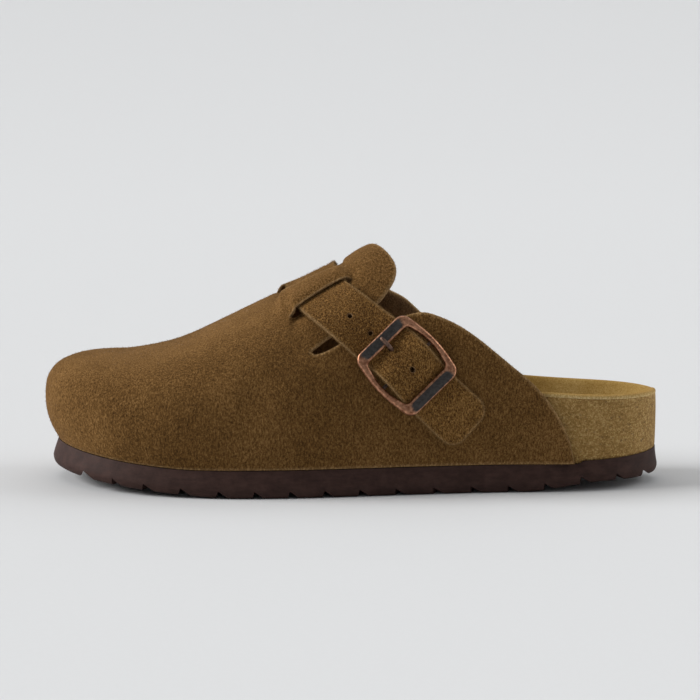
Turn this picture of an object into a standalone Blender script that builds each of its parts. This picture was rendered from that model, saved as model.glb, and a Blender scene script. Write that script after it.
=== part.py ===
"""Clog slipper, left shoe: a suede upper on a cork footbed and a ribbed sole.

Sizes are in millimetres until add_object turns them into metres.
The toe points along -X, the outer side of the foot faces -Y and Z is up.
The upper is drawn in a flat pattern: x along the shoe, and the girth, which is
measured over the leather from the ridge of the instep, negative on the outer side.
"""
import math

import bmesh
import bpy
import numpy as np
from mathutils import Vector
from mathutils.geometry import delaunay_2d_cdt

MM = 0.001

# Driving sizes of an EU 42 last
SOLE_LENGTH = 286.0
SOLE_THICKNESS = 12.5
HEEL_STEP = 1.4
LEATHER = 2.2
STRAP_LEATHER = 2.0
STRAP_WIDTH = 25.0
GAP = 0.35

# How the tread and the top of the sole curl up at the toe: rise, where it starts, and its power
TREAD_SPRING = (6.8, -55.0, 1.25)
TOP_SPRING = (6.5, -72.0, 1.5)
# The heel: the tread's bevel between two places, and the rise of the sole's top
HEEL_BEVEL = (4.2, 76.0, 116.0)
HEEL_TOP_RISE = (2.4, 104.0, 1.5)

# Outline of the sole from above: name, x, y
SOLE_OUTLINE = [
    ("toe tip", -143, 10),
    ("toe, outer side", -135, -15),
    ("little toe", -116, -35),
    ("outer ball, front", -84, -48.3),
    ("outer ball", -50, -52),
    ("outer waist, front", -12, -48.5),
    ("outer waist", 28, -42),
    ("outer heel, front", 66, -37),
    ("outer heel", 102, -34.3),
    ("heel corner, outer", 129, -24.5),
    ("heel end", 143, -1),
    ("heel corner, inner", 130, 22.5),
    ("inner heel", 102, 33),
    ("inner heel, front", 64, 34),
    ("inner arch", 24, 37),
    ("inner waist, front", -14, 44.5),
    ("inner ball", -50, 52),
    ("big toe joint", -84, 51),
    ("big toe", -116, 44),
    ("toe, inner side", -136, 30),
]

# Side of the sole: name, height from the bottom as (share of thickness), inset
SOLE_SIDE = [
    ("tread edge", 0.0, 2.6),
    ("tread chamfer", 0.07, 1.2),
    ("lower side", 0.2, 0.3),
    ("widest", 0.4, 0.0),
    ("top edge", 1.0, 2.6),
]

# Sections of the last: x, ridge y, ridge z, fullness and bulge of each side
LAST = {
    "x": [-108, -85, -60, -30, 0, 30, 60, 112],
    "ridge_y": [9, 10, 11, 12, 12, 11, 8, 3],
    "ridge_z": [59.7, 64.2, 75.5, 90.0, 105.0, 117, 123, 124],
    "full_outer": [2.8, 2.6, 2.3, 2.05, 1.9, 1.9, 2.2, 2.8],
    "full_inner": [2.8, 2.6, 2.4, 2.1, 2.0, 2.0, 2.2, 2.8],
    "bulge": [4.5, 3.5, 2.5, 2.0, 1.5, 1.0, 0.6, 0.3],
}
TOE_FULLNESS = 3.2
TOE_BULGE = 6.0
WIDEST_HEIGHT = 18.0
TOE_POLE_X = -108.0
PATTERN_UNIT = 80.0

# Footbed: x, rim height of each side, floor height, and how far in the dish reaches
FOOTBED = {
    "x": [-143, -100, -60, -20, 20, 60, 80, 100, 143],
    "rim_outer": [33.0, 29.5, 27.0, 28.5, 34.0, 42.5, 44.0, 43.0, 41.5],
    "rim_inner": [33.0, 30.0, 28.0, 33.0, 42.0, 45.0, 43.4, 41.8, 41.0],
    "floor": [26.0, 22.0, 20.0, 20.5, 23.5, 25.0, 24.0, 23.0, 26.0],
    "reach": [24.0, 22.0, 22.0, 26.0, 30.0, 31.0, 31.0, 31.0, 31.0],
}
DISH_POWER = 2.5

RIM_WIDTH = 3.6
# Side of the cork from the top down: inset, distance below the rim, or height over the sole
FOOTBED_SIDE = ((0.25, 1.6, None), (0.0, 5.0, None), (0.0, None, 2.0), (0.5, None, 0.0))
# Pairs of points along the footbed, and rows across it
FOOTBED_GRID = (24, 6)

# The part of the pattern round the strap loop, in shares, which is meshed more finely
THROAT = ((0.86, 1.38), (-0.42, 0.22))

# Edges of the upper in the pattern: x and girth
OUTER_EDGE = [
    (-19.6, -61.6), (-18.4, -63.2), (-16.0, -63.8), (-8.7, -62.3), (9.0, -57.4), (22.0, -55.6),
    (31.7, -55.6), (38.0, -58.4), (46.0, -63.2), (55.0, -69.9), (64.5, -78.1), (73.0, -85.5),
    (80.5, -92.0), (86.5, -98.4), (91.5, -105.4), (96.0, -113.3), (99.0, -120.5),
]
INNER_EDGE = [
    (-37.0, 9.4), (-26.0, 10.2), (-14.0, 11.6), (-4.0, 15.2), (6.0, 22.6), (16.5, 33.2), (24.0, 39.6),
    (32.0, 49.2), (44.0, 60.5), (58.0, 73.0), (74.0, 87.0), (86.0, 99.0), (94.0, 111.5), (99.0, 122.0),
]
TONGUE_EDGE = [
    (-19.4, -60.8), (-13.2, -57.4), (-3.0, -52.8), (5.0, -49.0), (10.7, -45.3), (15.6, -40.0),
    (18.6, -34.4), (19.2, -29.4), (17.0, -21.6), (13.4, -13.4), (9.6, -5.6), (5.4, 1.4),
    (-0.6, 6.4), (-9.0, 8.6), (-20.0, 8.6), (-36.5, 8.0),
]
QUARTER_END_X = 101.0

# Slits of the strap loop: x and girth along each one
OUTER_SLIT = [(-29.4, -38.0), (-20.2, -32.4), (-14.7, -30.0), (-9.2, -28.2), (-1.2, -26.4)]
INNER_SLIT = [(-35.4, -15.2), (-27.0, -13.2), (-20.0, -13.0), (-12.0, -13.6), (-4.2, -14.8)]
# Rear edge of the strap over the tongue, and the direction away from it
STRAP_REAR = ((-2.0, -28.0), (16.0, -54.0))
STRAP_REAR_NORMAL = (0.82, 0.57)
SLIT_WIDTH = 0.9
LOOP_RISE = 3.75
LIP_DROP = 2.3
PRESSED_DROP = 1.5
QUARTER_LIP_RISE = 4.3
TONGUE_RISE = 2.7
TONGUE_EASE = 9.0

# Strap: name, x and girth of its middle, and how far its underside is off the leather
STRAP = [
    ("sewn end, inside the quarter", -11.0, 33.0, -4.3),
    ("under the quarter", -15.5, 22.0, -2.2),
    ("out of the quarter", -19.0, 11.0, -0.6),
    ("over the tongue", -20.2, 1.0, -0.8),
    ("before the loop", -20.0, -7.5, -0.95),
    ("into the loop", -19.3, -13.0, -1.15),
    ("under the loop", -17.6, -21.5, -1.4),
    ("out of the loop", -15.0, -30.0, -1.15),
    ("down the side", -10.6, -38.5, 0.4),
    ("before the buckle", 1.3, -54.2, 1.5),
    ("under the front bar", 14.2, -68.4, 2.3),
    ("over the hinge", 23.1, -79.0, 6.75),
    ("under the rear bar", 32.1, -89.9, 2.5),
    ("behind the buckle", 41.0, -99.6, 1.3),
    ("tip", 53.6, -112.2, 0.8),
]
HOLE_PITCH = 12.0
HOLE_SIZE = 1.9
TIP_RADIUS = 7.0

# Buckle
BUCKLE_LENGTH = 37.5
BUCKLE_WIDTH = 30.4
BUCKLE_BAR = 5.8
BUCKLE_ROD = 2.5
BUCKLE_THICKNESS = 2.3
BUCKLE_BOW = 2.6
HINGE_RADIUS = 0.8
HINGE_HEIGHT = 0.2
COLLAR_RADIUS = 1.9
PRONG_RADIUS = 0.8
PRONG_HOLE = -9.8
TAB_WIDTH = 18.0
TAB_LENGTH = 9.0

# Tread
GROOVE_PITCH = 16.4
GROOVE_DEPTH = 2.8
GROOVE_WIDTH = 4.2
GROOVE_WAVE = 2.0

# Finish: name, colour, roughness, metallic
FINISHES = {
    "brown suede": ((0.085, 0.045, 0.020), 0.95, 0.0),
    "tan suede": ((0.240, 0.145, 0.065), 0.95, 0.0),
    "cork": ((0.230, 0.150, 0.080), 0.85, 0.0),
    "dark brown foam rubber": ((0.030, 0.017, 0.014), 0.70, 0.0),
    "antique copper": ((0.300, 0.140, 0.090), 0.38, 1.0),
}


def smoothstep(start, end, value):
    """Ease from 0 at start to 1 at end."""
    share = np.clip((np.asarray(value, float) - start) / (end - start), 0.0, 1.0)
    return share * share * (3.0 - 2.0 * share)


def cubic_curve(stations, values):
    """Return the natural cubic spline through values at stations, held flat past its ends."""
    stations = np.asarray(stations, float)
    values = np.asarray(values, float)
    steps = np.diff(stations)
    count = len(stations)
    matrix = np.eye(count)
    right = np.zeros(count)
    for row in range(1, count - 1):
        before, after = steps[row - 1], steps[row]
        matrix[row, row - 1:row + 2] = before, 2.0 * (before + after), after
        rise_after = (values[row + 1] - values[row]) / after
        rise_before = (values[row] - values[row - 1]) / before
        right[row] = 6.0 * (rise_after - rise_before)
    bend = np.linalg.solve(matrix, right)

    def curve(at):
        at = np.clip(np.asarray(at, float), stations[0], stations[-1])
        left = np.clip(np.searchsorted(stations, at, side="right") - 1, 0, count - 2)
        step = steps[left]
        after = at - stations[left]
        before = step - after
        cubic = (bend[left] * before ** 3 + bend[left + 1] * after ** 3) / (6.0 * step)
        first = (values[left] / step - bend[left] * step / 6.0) * before
        second = (values[left + 1] / step - bend[left + 1] * step / 6.0) * after
        return cubic + first + second

    return curve


def closed_curve(points, count):
    """Sample a closed smooth curve through points, starting at the first one."""
    ring = np.array([point[-2:] for point in points], float)
    wrap = 4
    padded = np.concatenate([ring[-wrap:], ring, ring[:wrap + 1]])
    chord = np.concatenate([[0.0], np.cumsum(np.hypot(*np.diff(padded, axis=0).T))])
    start, end = chord[wrap], chord[wrap + len(ring)]
    places = np.linspace(start, end, count, endpoint=False)
    return np.stack([cubic_curve(chord, padded[:, axis])(places) for axis in (0, 1)], axis=1)


def open_curve(points, spacing):
    """Sample a smooth curve through points at about the given spacing."""
    points = np.array(points, float)
    chord = np.concatenate([[0.0], np.cumsum(np.hypot(*np.diff(points, axis=0).T))])
    places = np.linspace(0.0, chord[-1], max(3, round(chord[-1] / spacing) + 1))
    return np.stack([cubic_curve(chord, points[:, axis])(places) for axis in (0, 1)], axis=1)


def inset(curve, distance):
    """Move a closed outline inward by a distance, one value or one for each point."""
    tangent = np.roll(curve, -1, axis=0) - np.roll(curve, 1, axis=0)
    tangent /= np.hypot(*tangent.T)[:, None]
    inward = np.stack([-tangent[:, 1], tangent[:, 0]], axis=1)
    return curve + inward * np.broadcast_to(distance, len(curve))[:, None]


OUTLINE = closed_curve(SOLE_OUTLINE, 1200)


def curl(x, spring, towards):
    """Rise of a line that curls up past a place, towards the toe (-1) or the heel (1)."""
    rise, start, power = spring
    share = np.clip((np.asarray(x, float) - start) / (towards * SOLE_LENGTH / 2.0 - start), 0.0, 2.0)
    return rise * share ** power


def sole_bottom(x):
    """Height of the tread: flat, with the toe spring and the bevel of the heel."""
    height, start, end = HEEL_BEVEL
    return curl(x, TREAD_SPRING, -1.0) + height * smoothstep(start, end, x)


def sole_top(x):
    """Height of the top of the sole, with its step under the bare cork."""
    step = HEEL_STEP * smoothstep(103.0, 106.0, x)
    return SOLE_THICKNESS + curl(x, TOP_SPRING, -1.0) + curl(x, HEEL_TOP_RISE, 1.0) + step


def footbed_inset(x):
    """How far the cork is in from the widest line of the sole."""
    return 5.3 - 4.2 * smoothstep(70.0, 140.0, x)


def leather_inset(x):
    """How far the foot of the upper is in from the widest line of the sole."""
    return footbed_inset(x) - LEATHER - GAP


def sides(curve):
    """Split a closed outline into its outer and inner side, both from toe to heel."""
    first = np.roll(curve, -int(np.argmin(curve[:, 0])), axis=0)
    last = int(np.argmax(first[:, 0]))
    outer = first[:last + 1]
    inner = np.concatenate([first[last:], first[:1]])[::-1]
    return outer, inner


def paired_ring(distance, stations):
    """Return an inset of the outline as a ring whose two sides share their x stations."""
    outer, inner = sides(inset(OUTLINE, distance))
    x = outer[0, 0] + (outer[-1, 0] - outer[0, 0]) * stations
    outer_y = np.interp(x, outer[:, 0], outer[:, 1])
    inner_y = np.interp(x, inner[:, 0], inner[:, 1])
    there = np.stack([x, outer_y], axis=1)
    back = np.stack([x, inner_y], axis=1)[-2:0:-1]
    return np.concatenate([there, back])


def ring_stations(pairs):
    """Shares of the length, closer together at toe and heel."""
    return (1.0 - np.cos(np.linspace(0.0, math.pi, pairs + 1))) / 2.0


def bridge(first, second, size):
    """Quads between two rings of the same size."""
    return [
        (first + i, first + (i + 1) % size, second + (i + 1) % size, second + i)
        for i in range(size)
    ]


def cross_fill(ring, rows, pairs, next_index):
    """Fill a paired ring with rows of points across it.

    Returns the share along and across of each new point, and the faces.
    """
    size = 2 * pairs
    shares = []
    lines = [[ring]]
    for i in range(1, pairs):
        line = [ring + i]
        for j in range(1, rows):
            shares.append((i, j / rows))
            line.append(next_index)
            next_index += 1
        line.append(ring + size - i)
        lines.append(line)
    lines.append([ring + pairs])
    faces = []
    for before, after in zip(lines[:-1], lines[1:]):
        if len(before) == 1:
            faces += [(before[0], after[j], after[j + 1]) for j in range(rows)]
        elif len(after) == 1:
            faces += [(before[j], after[0], before[j + 1]) for j in range(rows)]
        else:
            faces += [(before[j], after[j], after[j + 1], before[j + 1]) for j in range(rows)]
    return shares, faces


def split(faces):
    """Cut faces into triangles that fan out from their first corner."""
    return [(face[0], face[i], face[i + 1]) for face in faces for i in range(1, len(face) - 1)]


def flip(faces):
    """Turn faces over."""
    return [tuple(reversed(face)) for face in faces]


def finish(name):
    """Make or fetch a plain finish."""
    material = bpy.data.materials.get(name)
    if material is None:
        colour, roughness, metallic = FINISHES[name]
        material = bpy.data.materials.new(name)
        material.use_nodes = True
        shader = material.node_tree.nodes["Principled BSDF"]
        shader.inputs["Base Color"].default_value = (*colour, 1.0)
        shader.inputs["Roughness"].default_value = roughness
        shader.inputs["Metallic"].default_value = metallic
        material.diffuse_color = (*colour, 1.0)
    return material


def add_object(name, vertices, faces, material):
    """Add a closed body with its faces turned outward."""
    mesh = bpy.data.meshes.new(name)
    mesh.from_pydata([tuple(np.asarray(vertex, float) * MM) for vertex in vertices], [], faces)
    mesh.materials.append(finish(material))
    mesh.validate()
    body = bpy.data.objects.new(name, mesh)
    bpy.context.scene.collection.objects.link(body)
    return body


def thicken(vertices, faces, low, high):
    """Make a closed sheet between two distances off an open surface, along its normals."""
    vertices = np.asarray(vertices, float)
    normals = np.zeros_like(vertices)
    edges = {}
    for face in faces:
        corners = vertices[list(face)]
        ahead, behind = np.roll(corners, -1, axis=0), corners
        area = np.cross(behind, ahead).sum(axis=0)
        for i, vertex in enumerate(face):
            normals[vertex] += area
            edges[(vertex, face[(i + 1) % len(face)])] = True
    normals /= np.linalg.norm(normals, axis=1)[:, None]
    count = len(vertices)
    low, high = (np.broadcast_to(value, count)[:, None] for value in (low, high))
    solid = np.concatenate([vertices + normals * high, vertices + normals * low])
    skin = [tuple(face) for face in faces]
    skin += [tuple(vertex + count for vertex in reversed(face)) for face in faces]
    for start, end in edges:
        if (end, start) not in edges:
            skin.append((end, start, start + count, end + count))
    return solid, skin


def sole_groove_cutter():
    """One mesh with a wavy wedge across the tread for each groove."""
    vertices, faces = [], []
    rows = 9
    places = np.arange(-8, 9) * GROOVE_PITCH + 6.0
    for middle in places:
        first = len(vertices)
        for i in range(rows):
            y = -60.0 + 120.0 * i / (rows - 1)
            x = middle + GROOVE_WAVE * math.cos(math.pi * i)
            low = float(sole_bottom(x))
            vertices.append((x - 0.5 * GROOVE_WIDTH, y, low - 0.5 * GROOVE_DEPTH))
            vertices.append((x + 1.1 * GROOVE_WIDTH, y, low - 0.5 * GROOVE_DEPTH))
            vertices.append((x - 0.3 * GROOVE_WIDTH, y, low + GROOVE_DEPTH))
        for i in range(rows - 1):
            base = first + 3 * i
            for j in range(3):
                k = (j + 1) % 3
                faces.append((base + j, base + 3 + j, base + 3 + k, base + k))
        faces.append((first, first + 1, first + 2))
        last = first + 3 * (rows - 1)
        faces.append((last + 2, last + 1, last))
    return vertices, faces


def build_outsole():
    """The sole: a stack of insets of the outline, grooved across the tread."""
    pairs = 42
    stations = ring_stations(pairs)
    size = 2 * pairs
    vertices = []
    for _, share, distance in SOLE_SIDE:
        upright = 1.0 - 0.6 * share * smoothstep(100.0, 140.0, OUTLINE[:, 0])
        ring = paired_ring(distance * upright, stations)
        low, high = sole_bottom(ring[:, 0]), sole_top(ring[:, 0])
        height = low + (high - low) * share
        vertices += list(np.column_stack([ring, height]))
    faces = []
    for level in range(len(SOLE_SIDE) - 1):
        faces += bridge(level * size, (level + 1) * size, size)
    _, bottom = cross_fill(0, 1, pairs, len(vertices))
    _, top = cross_fill((len(SOLE_SIDE) - 1) * size, 1, pairs, len(vertices))
    faces += flip(bottom) + top
    sole = add_object("outsole", vertices, faces, "dark brown foam rubber")
    cutter = add_object("tread_groove_cutter", *sole_groove_cutter(), "dark brown foam rubber")
    join(sole, cutter, "DIFFERENCE")
    return sole


def footbed_rim(ring):
    """Rim height at each point of a paired ring."""
    size = len(ring)
    index = np.arange(size)
    outer = cubic_curve(FOOTBED["x"], FOOTBED["rim_outer"])(ring[:, 0])
    inner = cubic_curve(FOOTBED["x"], FOOTBED["rim_inner"])(ring[:, 0])
    return np.where(index <= size // 2, outer, inner)


def footbed_surface(rows, pairs):
    """Top of the footbed: the rounded rim and the dished floor, as an open surface."""
    stations = ring_stations(pairs)
    size = 2 * pairs
    vertices = []
    for extra, drop in ((1.0, 0.35), (0.6 * RIM_WIDTH, 0.0), (RIM_WIDTH, 0.7)):
        ring = paired_ring(footbed_inset(OUTLINE[:, 0]) + extra, stations)
        vertices += list(np.column_stack([ring, footbed_rim(ring) - drop]))
    faces = bridge(0, size, size) + bridge(size, 2 * size, size)
    shares, fill = cross_fill(2 * size, rows, pairs, len(vertices))
    floor_curve = cubic_curve(FOOTBED["x"], FOOTBED["floor"])
    reach_curve = cubic_curve(FOOTBED["x"], FOOTBED["reach"])
    rim = np.array(vertices[2 * size:])
    edge_line = inset(OUTLINE, footbed_inset(OUTLINE[:, 0]) + RIM_WIDTH)
    for i, share in shares:
        outer, inner = rim[i], rim[size - i]
        x, y = outer[0], outer[1] + (inner[1] - outer[1]) * share
        away = float(np.hypot(edge_line[:, 0] - x, edge_line[:, 1] - y).min())
        lift = max(0.0, 1.0 - away / float(reach_curve(x))) ** DISH_POWER
        edge = outer[2] + (inner[2] - outer[2]) * share
        floor = float(floor_curve(x))
        vertices.append((x, y, floor + (edge - floor) * lift))
    return vertices, split(faces + fill)


def build_footbed():
    """The cork footbed, closed from its dished top down to the sole."""
    pairs, rows = FOOTBED_GRID
    size = 2 * pairs
    stations = ring_stations(pairs)
    vertices, faces = footbed_surface(rows, pairs)
    below = 0
    for extra, from_rim, from_sole in FOOTBED_SIDE:
        ring = paired_ring(footbed_inset(OUTLINE[:, 0]) + extra, stations)
        if from_sole is None:
            height = footbed_rim(ring) - from_rim
        else:
            height = sole_top(ring[:, 0] + 4.0 * (ring[:, 0] > 90.0)) + GAP + from_sole
        start = len(vertices)
        vertices += list(np.column_stack([ring, height]))
        faces += bridge(start, below, size)
        below = start
    _, bottom = cross_fill(below, 1, pairs, len(vertices))
    faces += flip(bottom)
    return add_object("footbed", vertices, faces, "cork")


def build_insole():
    """The suede lining of the footbed, up to the edge of its rim."""
    pairs, rows = FOOTBED_GRID
    vertices, faces = footbed_surface(rows, pairs)
    solid, skin = thicken(vertices, faces, 0.5, 1.8)
    return add_object("insole", solid, skin, "tan suede")


class Last:
    """The outer face of the leather as a surface over the flat pattern."""

    def __init__(self):
        self.curves = {key: cubic_curve(LAST["x"], values) for key, values in LAST.items() if key != "x"}
        foot = inset(OUTLINE, leather_inset(OUTLINE[:, 0]))
        self.outer, self.inner = sides(foot)
        self.pole_y = float(self.curves["ridge_y"](TOE_POLE_X))
        angle = np.arctan2(foot[:, 1] - self.pole_y, TOE_POLE_X - foot[:, 0])
        order = np.argsort(angle)
        self.angle = angle[order]
        self.reach = np.hypot(foot[:, 1] - self.pole_y, foot[:, 0] - TOE_POLE_X)[order]

    def sections(self, a, b):
        """Section curve of each pattern point, its girth and its frame."""
        fan = a < 0.0
        x = TOE_POLE_X + np.maximum(a, 0.0) * PATTERN_UNIT
        side = np.where(b < 0.0, -1.0, 1.0)
        turn = np.where(fan, np.arctan2(b, -a), 0.0)
        ridge_y, ridge_z = self.curves["ridge_y"](x), self.curves["ridge_z"](x)
        outer_y = np.interp(x, self.outer[:, 0], self.outer[:, 1])
        inner_y = np.interp(x, self.inner[:, 0], self.inner[:, 1])
        width = np.abs(np.where(side < 0.0, outer_y, inner_y) - ridge_y)
        reach = np.where(fan, np.interp(turn, self.angle, self.reach), width)
        out_x = np.where(fan, -np.cos(turn), 0.0)
        out_y = np.where(fan, np.sin(turn), side)
        front = np.where(fan, np.cos(turn) ** 2, 0.0)
        fullness = np.where(side < 0.0, self.curves["full_outer"](x), self.curves["full_inner"](x))
        fullness = fullness + (TOE_FULLNESS - fullness) * front
        bulge = self.curves["bulge"](x)
        bulge = (bulge + (TOE_BULGE - bulge) * front)[:, None]
        foot_z = sole_top(x + out_x * reach) + GAP
        rise = (ridge_z - foot_z)[:, None]
        reach = reach[:, None]
        low = np.linspace(0.0, 1.0, 10)[None, :-1]
        low_r = reach + bulge * (1.0 - (1.0 - low) ** 2)
        low_z = WIDEST_HEIGHT * low * np.ones_like(reach)
        quarter = np.linspace(0.0, math.pi / 2.0, 48)[None]
        power = 2.0 / fullness[:, None]
        high_r = (reach + bulge) * np.clip(np.cos(quarter), 0.0, 1.0) ** power
        high_z = WIDEST_HEIGHT + (rise - WIDEST_HEIGHT) * np.sin(quarter) ** power
        r = np.concatenate([low_r, high_r], axis=1)
        z = np.concatenate([low_z, high_z], axis=1)
        along = np.cumsum(np.hypot(np.diff(r, axis=1), np.diff(z, axis=1)), axis=1)
        along = np.concatenate([np.zeros_like(reach), along], axis=1)
        return r, z, along, x, ridge_y, out_x, out_y, foot_z

    def point(self, a, b):
        """Points in space of pattern shares a (along) and b (ridge 0, feet -1 and 1)."""
        a, b = np.asarray(a, float).ravel(), np.asarray(b, float).ravel()
        r, z, along, x, ridge_y, out_x, out_y, foot_z = self.sections(a, b)
        share = 1.0 - np.where(a < 0.0, np.hypot(a, b), np.abs(b))
        wanted = share * along[:, -1]
        index = np.clip((along <= wanted[:, None]).sum(axis=1) - 1, 0, along.shape[1] - 2)
        row = np.arange(len(a))
        step = np.maximum(along[row, index + 1] - along[row, index], 1e-9)
        part = (wanted - along[row, index]) / step
        radius = r[row, index] + part * (r[row, index + 1] - r[row, index])
        height = z[row, index] + part * (z[row, index + 1] - z[row, index])
        return np.stack([x + out_x * radius, ridge_y + out_y * radius, foot_z + height], axis=1)

    def share(self, x, girth):
        """Pattern shares of a place given by x and girth in millimetres."""
        x, girth = np.broadcast_arrays(np.asarray(x, float), np.asarray(girth, float))
        a = (x.ravel() - TOE_POLE_X) / PATTERN_UNIT
        along = self.sections(a, np.where(girth.ravel() < 0.0, -0.5, 0.5))[2]
        return a, girth.ravel() / along[:, -1]

    def place(self, x, girth):
        """Point in space and outward normal at x and girth."""
        step = 0.5
        at = self.point(*self.share(x, girth))
        along = self.point(*self.share(np.asarray(x) + step, girth)) - at
        across = self.point(*self.share(x, np.asarray(girth) + step)) - at
        normal = np.cross(along, across)
        normal /= np.linalg.norm(normal, axis=1)[:, None]
        return at, normal, along / step, across / step


def slit_window(x, line, ease):
    """1 along a slit, easing to 0 at its two ends."""
    start, end = line[0][0], line[-1][0]
    return smoothstep(start - 1.0, start + ease, x) * (1.0 - smoothstep(end - ease, end + 1.0, x))


def girth_of(line, x):
    """Girth of a pattern line at x."""
    line = np.array(line)
    return np.interp(x, line[:, 0], line[:, 1])


def leather_rise(x, girth):
    """How far the strap lifts or presses the leather off the last."""
    outer = girth - girth_of(OUTER_SLIT, x)
    inner = girth - girth_of(INNER_SLIT, x)
    lip = girth - girth_of(INNER_EDGE, x)
    in_outer, in_inner = slit_window(x, OUTER_SLIT, 2.4), slit_window(x, INNER_SLIT, 2.4)
    band = (outer > 0.0) & (inner < 0.0)
    across = np.clip(outer / np.maximum(outer - inner, 1e-6), 0.0, 1.0)
    loop = np.where(band, LOOP_RISE * (in_outer * (1.0 - across) + in_inner * across), 0.0)
    behind_x = (x - STRAP_REAR[0][0]) * STRAP_REAR_NORMAL[0]
    behind_strap = behind_x + (girth - STRAP_REAR[0][1]) * STRAP_REAR_NORMAL[1]
    tongue = TONGUE_RISE * smoothstep(0.0, TONGUE_EASE, behind_strap)
    tongue = tongue * smoothstep(-8.0, 4.0, x) * (1.0 - 0.4 * smoothstep(8.0, 18.0, x))
    tongue = tongue * np.exp(-((girth + 16.0) / 22.0) ** 2)
    tongue = np.where((girth < 9.2) & (x < 20.0), tongue, 0.0)
    loop = np.maximum(loop, tongue)
    outer_drop = -LIP_DROP * in_outer * np.exp(-(outer / 8.0) ** 2)
    outer_lip = np.where(outer <= 0.0, outer_drop, 0.0)
    pressed = smoothstep(-38.0, -34.8, x) * (1.0 - smoothstep(-6.2, -4.4, x))
    pressed *= PRESSED_DROP * smoothstep(0.0, 5.0, inner) * np.exp(-(inner / 40.0) ** 2)
    inner_drop = -np.maximum(LIP_DROP * in_inner * np.exp(-(inner / 5.0) ** 2), pressed)
    inner_lip = np.where((inner >= 0.0) & (lip < -0.8), inner_drop, 0.0)
    run = smoothstep(-39.0, -33.5, x) * (1.0 - smoothstep(-7.0, 20.0, x))
    lip_rise = QUARTER_LIP_RISE * run * np.exp(-(np.maximum(lip, 0.0) / 17.0) ** 2)
    quarter = np.where(lip > -0.8, lip_rise, 0.0)
    return loop + outer_lip + inner_lip + quarter


def slit_loop(last, line, spacing):
    """Closed thin outline of a slit in pattern shares."""
    middle = open_curve(line, spacing)
    taper = SLIT_WIDTH / 2.0 * np.sqrt(np.clip(1.0 - np.linspace(-1.0, 1.0, len(middle)) ** 8, 0.0, 1.0))
    there = np.column_stack([middle[:, 0], middle[:, 1] + taper])
    back = np.column_stack([middle[:, 0], middle[:, 1] - taper])[-2:0:-1]
    x, girth = np.concatenate([there, back]).T
    return np.stack(last.share(x, girth), axis=1)


def inside(points, loop):
    """Which points are inside a closed loop."""
    result = np.zeros(len(points), bool)
    ahead = np.roll(loop, -1, axis=0)
    for (x0, y0), (x1, y1) in zip(loop, ahead):
        if y0 == y1:
            continue
        crosses = (points[:, 1] < y0) != (points[:, 1] < y1)
        at = x0 + (points[:, 1] - y0) * (x1 - x0) / (y1 - y0)
        result ^= crosses & (points[:, 0] < at)
    return result


def near(points, loop, distance):
    """Which points lie closer to a loop's corners than a distance."""
    apart = np.hypot(points[:, None, 0] - loop[None, :, 0], points[:, None, 1] - loop[None, :, 1])
    return apart.min(axis=1) < distance


def upper_pattern(last, spacing):
    """Triangles of the flat pattern, in shares, within its edges and around its slits."""
    edges = [open_curve(line, spacing * 0.7) for line in (OUTER_EDGE, INNER_EDGE, TONGUE_EDGE)]
    outer, inner, tongue = (np.stack(last.share(*edge.T), axis=1) for edge in edges)
    end = (QUARTER_END_X - TOE_POLE_X) / PATTERN_UNIT
    run = np.linspace(end, 0.0, round((QUARTER_END_X - TOE_POLE_X) / spacing) + 1)
    turn = np.linspace(-math.pi / 2.0, math.pi / 2.0, round(120.0 / spacing) + 1)[1:-1]
    toe = np.stack([-np.cos(turn), np.sin(turn)], axis=1)
    outer_foot = np.stack([run, -np.ones_like(run)], axis=1)
    inner_foot = np.stack([run[::-1], np.ones_like(run)], axis=1)
    boundary = np.concatenate([outer_foot, toe, inner_foot, inner[::-1], tongue[::-1], outer])
    slits = [slit_loop(last, line, spacing * 0.5) for line in (OUTER_SLIT, INNER_SLIT)]
    loops = [boundary] + slits

    step = spacing / PATTERN_UNIT
    rows = round(104.0 / spacing)
    columns = np.arange(step / 2.0, end, step)
    body = np.array([(a, b) for a in columns for b in np.linspace(-1.0, 1.0, 2 * rows + 1)[1:-1]])
    (front, rear), (low, high) = THROAT
    fine_columns = np.arange(front, rear, step / 2.0)
    fine_rows = np.arange(low, high, 0.5 / rows)
    throat = np.array([(a, b) for a in fine_columns for b in fine_rows])
    beside = (body[:, 0] < front) | (body[:, 0] > rear)
    beside |= (body[:, 1] < low) | (body[:, 1] > high)
    body = np.concatenate([body[beside], throat])
    fan = [(-1e-4, 0.0)]
    for ring in range(1, round(74.0 / spacing)):
        radius = ring / round(74.0 / spacing)
        spokes = max(4, round(radius * 130.0 / spacing))
        for angle in np.linspace(-math.pi / 2.0, math.pi / 2.0, spokes + 1):
            fan.append((-radius * math.cos(angle) - 1e-4, radius * math.sin(angle)))
    free = np.concatenate([body, np.array(fan)])
    free = free[inside(free, boundary)]
    for loop in loops:
        free = free[~near(free, loop, 0.3 * step)]
    for loop in slits:
        free = free[~inside(free, loop)]

    points = np.concatenate(loops + [free])
    edges = []
    start = 0
    for loop in loops:
        size = len(loop)
        edges += [(start + i, start + (i + 1) % size) for i in range(size)]
        start += size
    result = delaunay_2d_cdt([Vector(point) for point in points.tolist()], edges, [], 0, 1e-7)
    flat = np.array([tuple(point) for point in result[0]])
    triangles = np.array([tuple(face) for face in result[2]])
    middle = flat[triangles].mean(axis=1)
    keep = inside(middle, boundary)
    for loop in slits:
        keep &= ~inside(middle, loop)
    return flat, triangles[keep]


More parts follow.
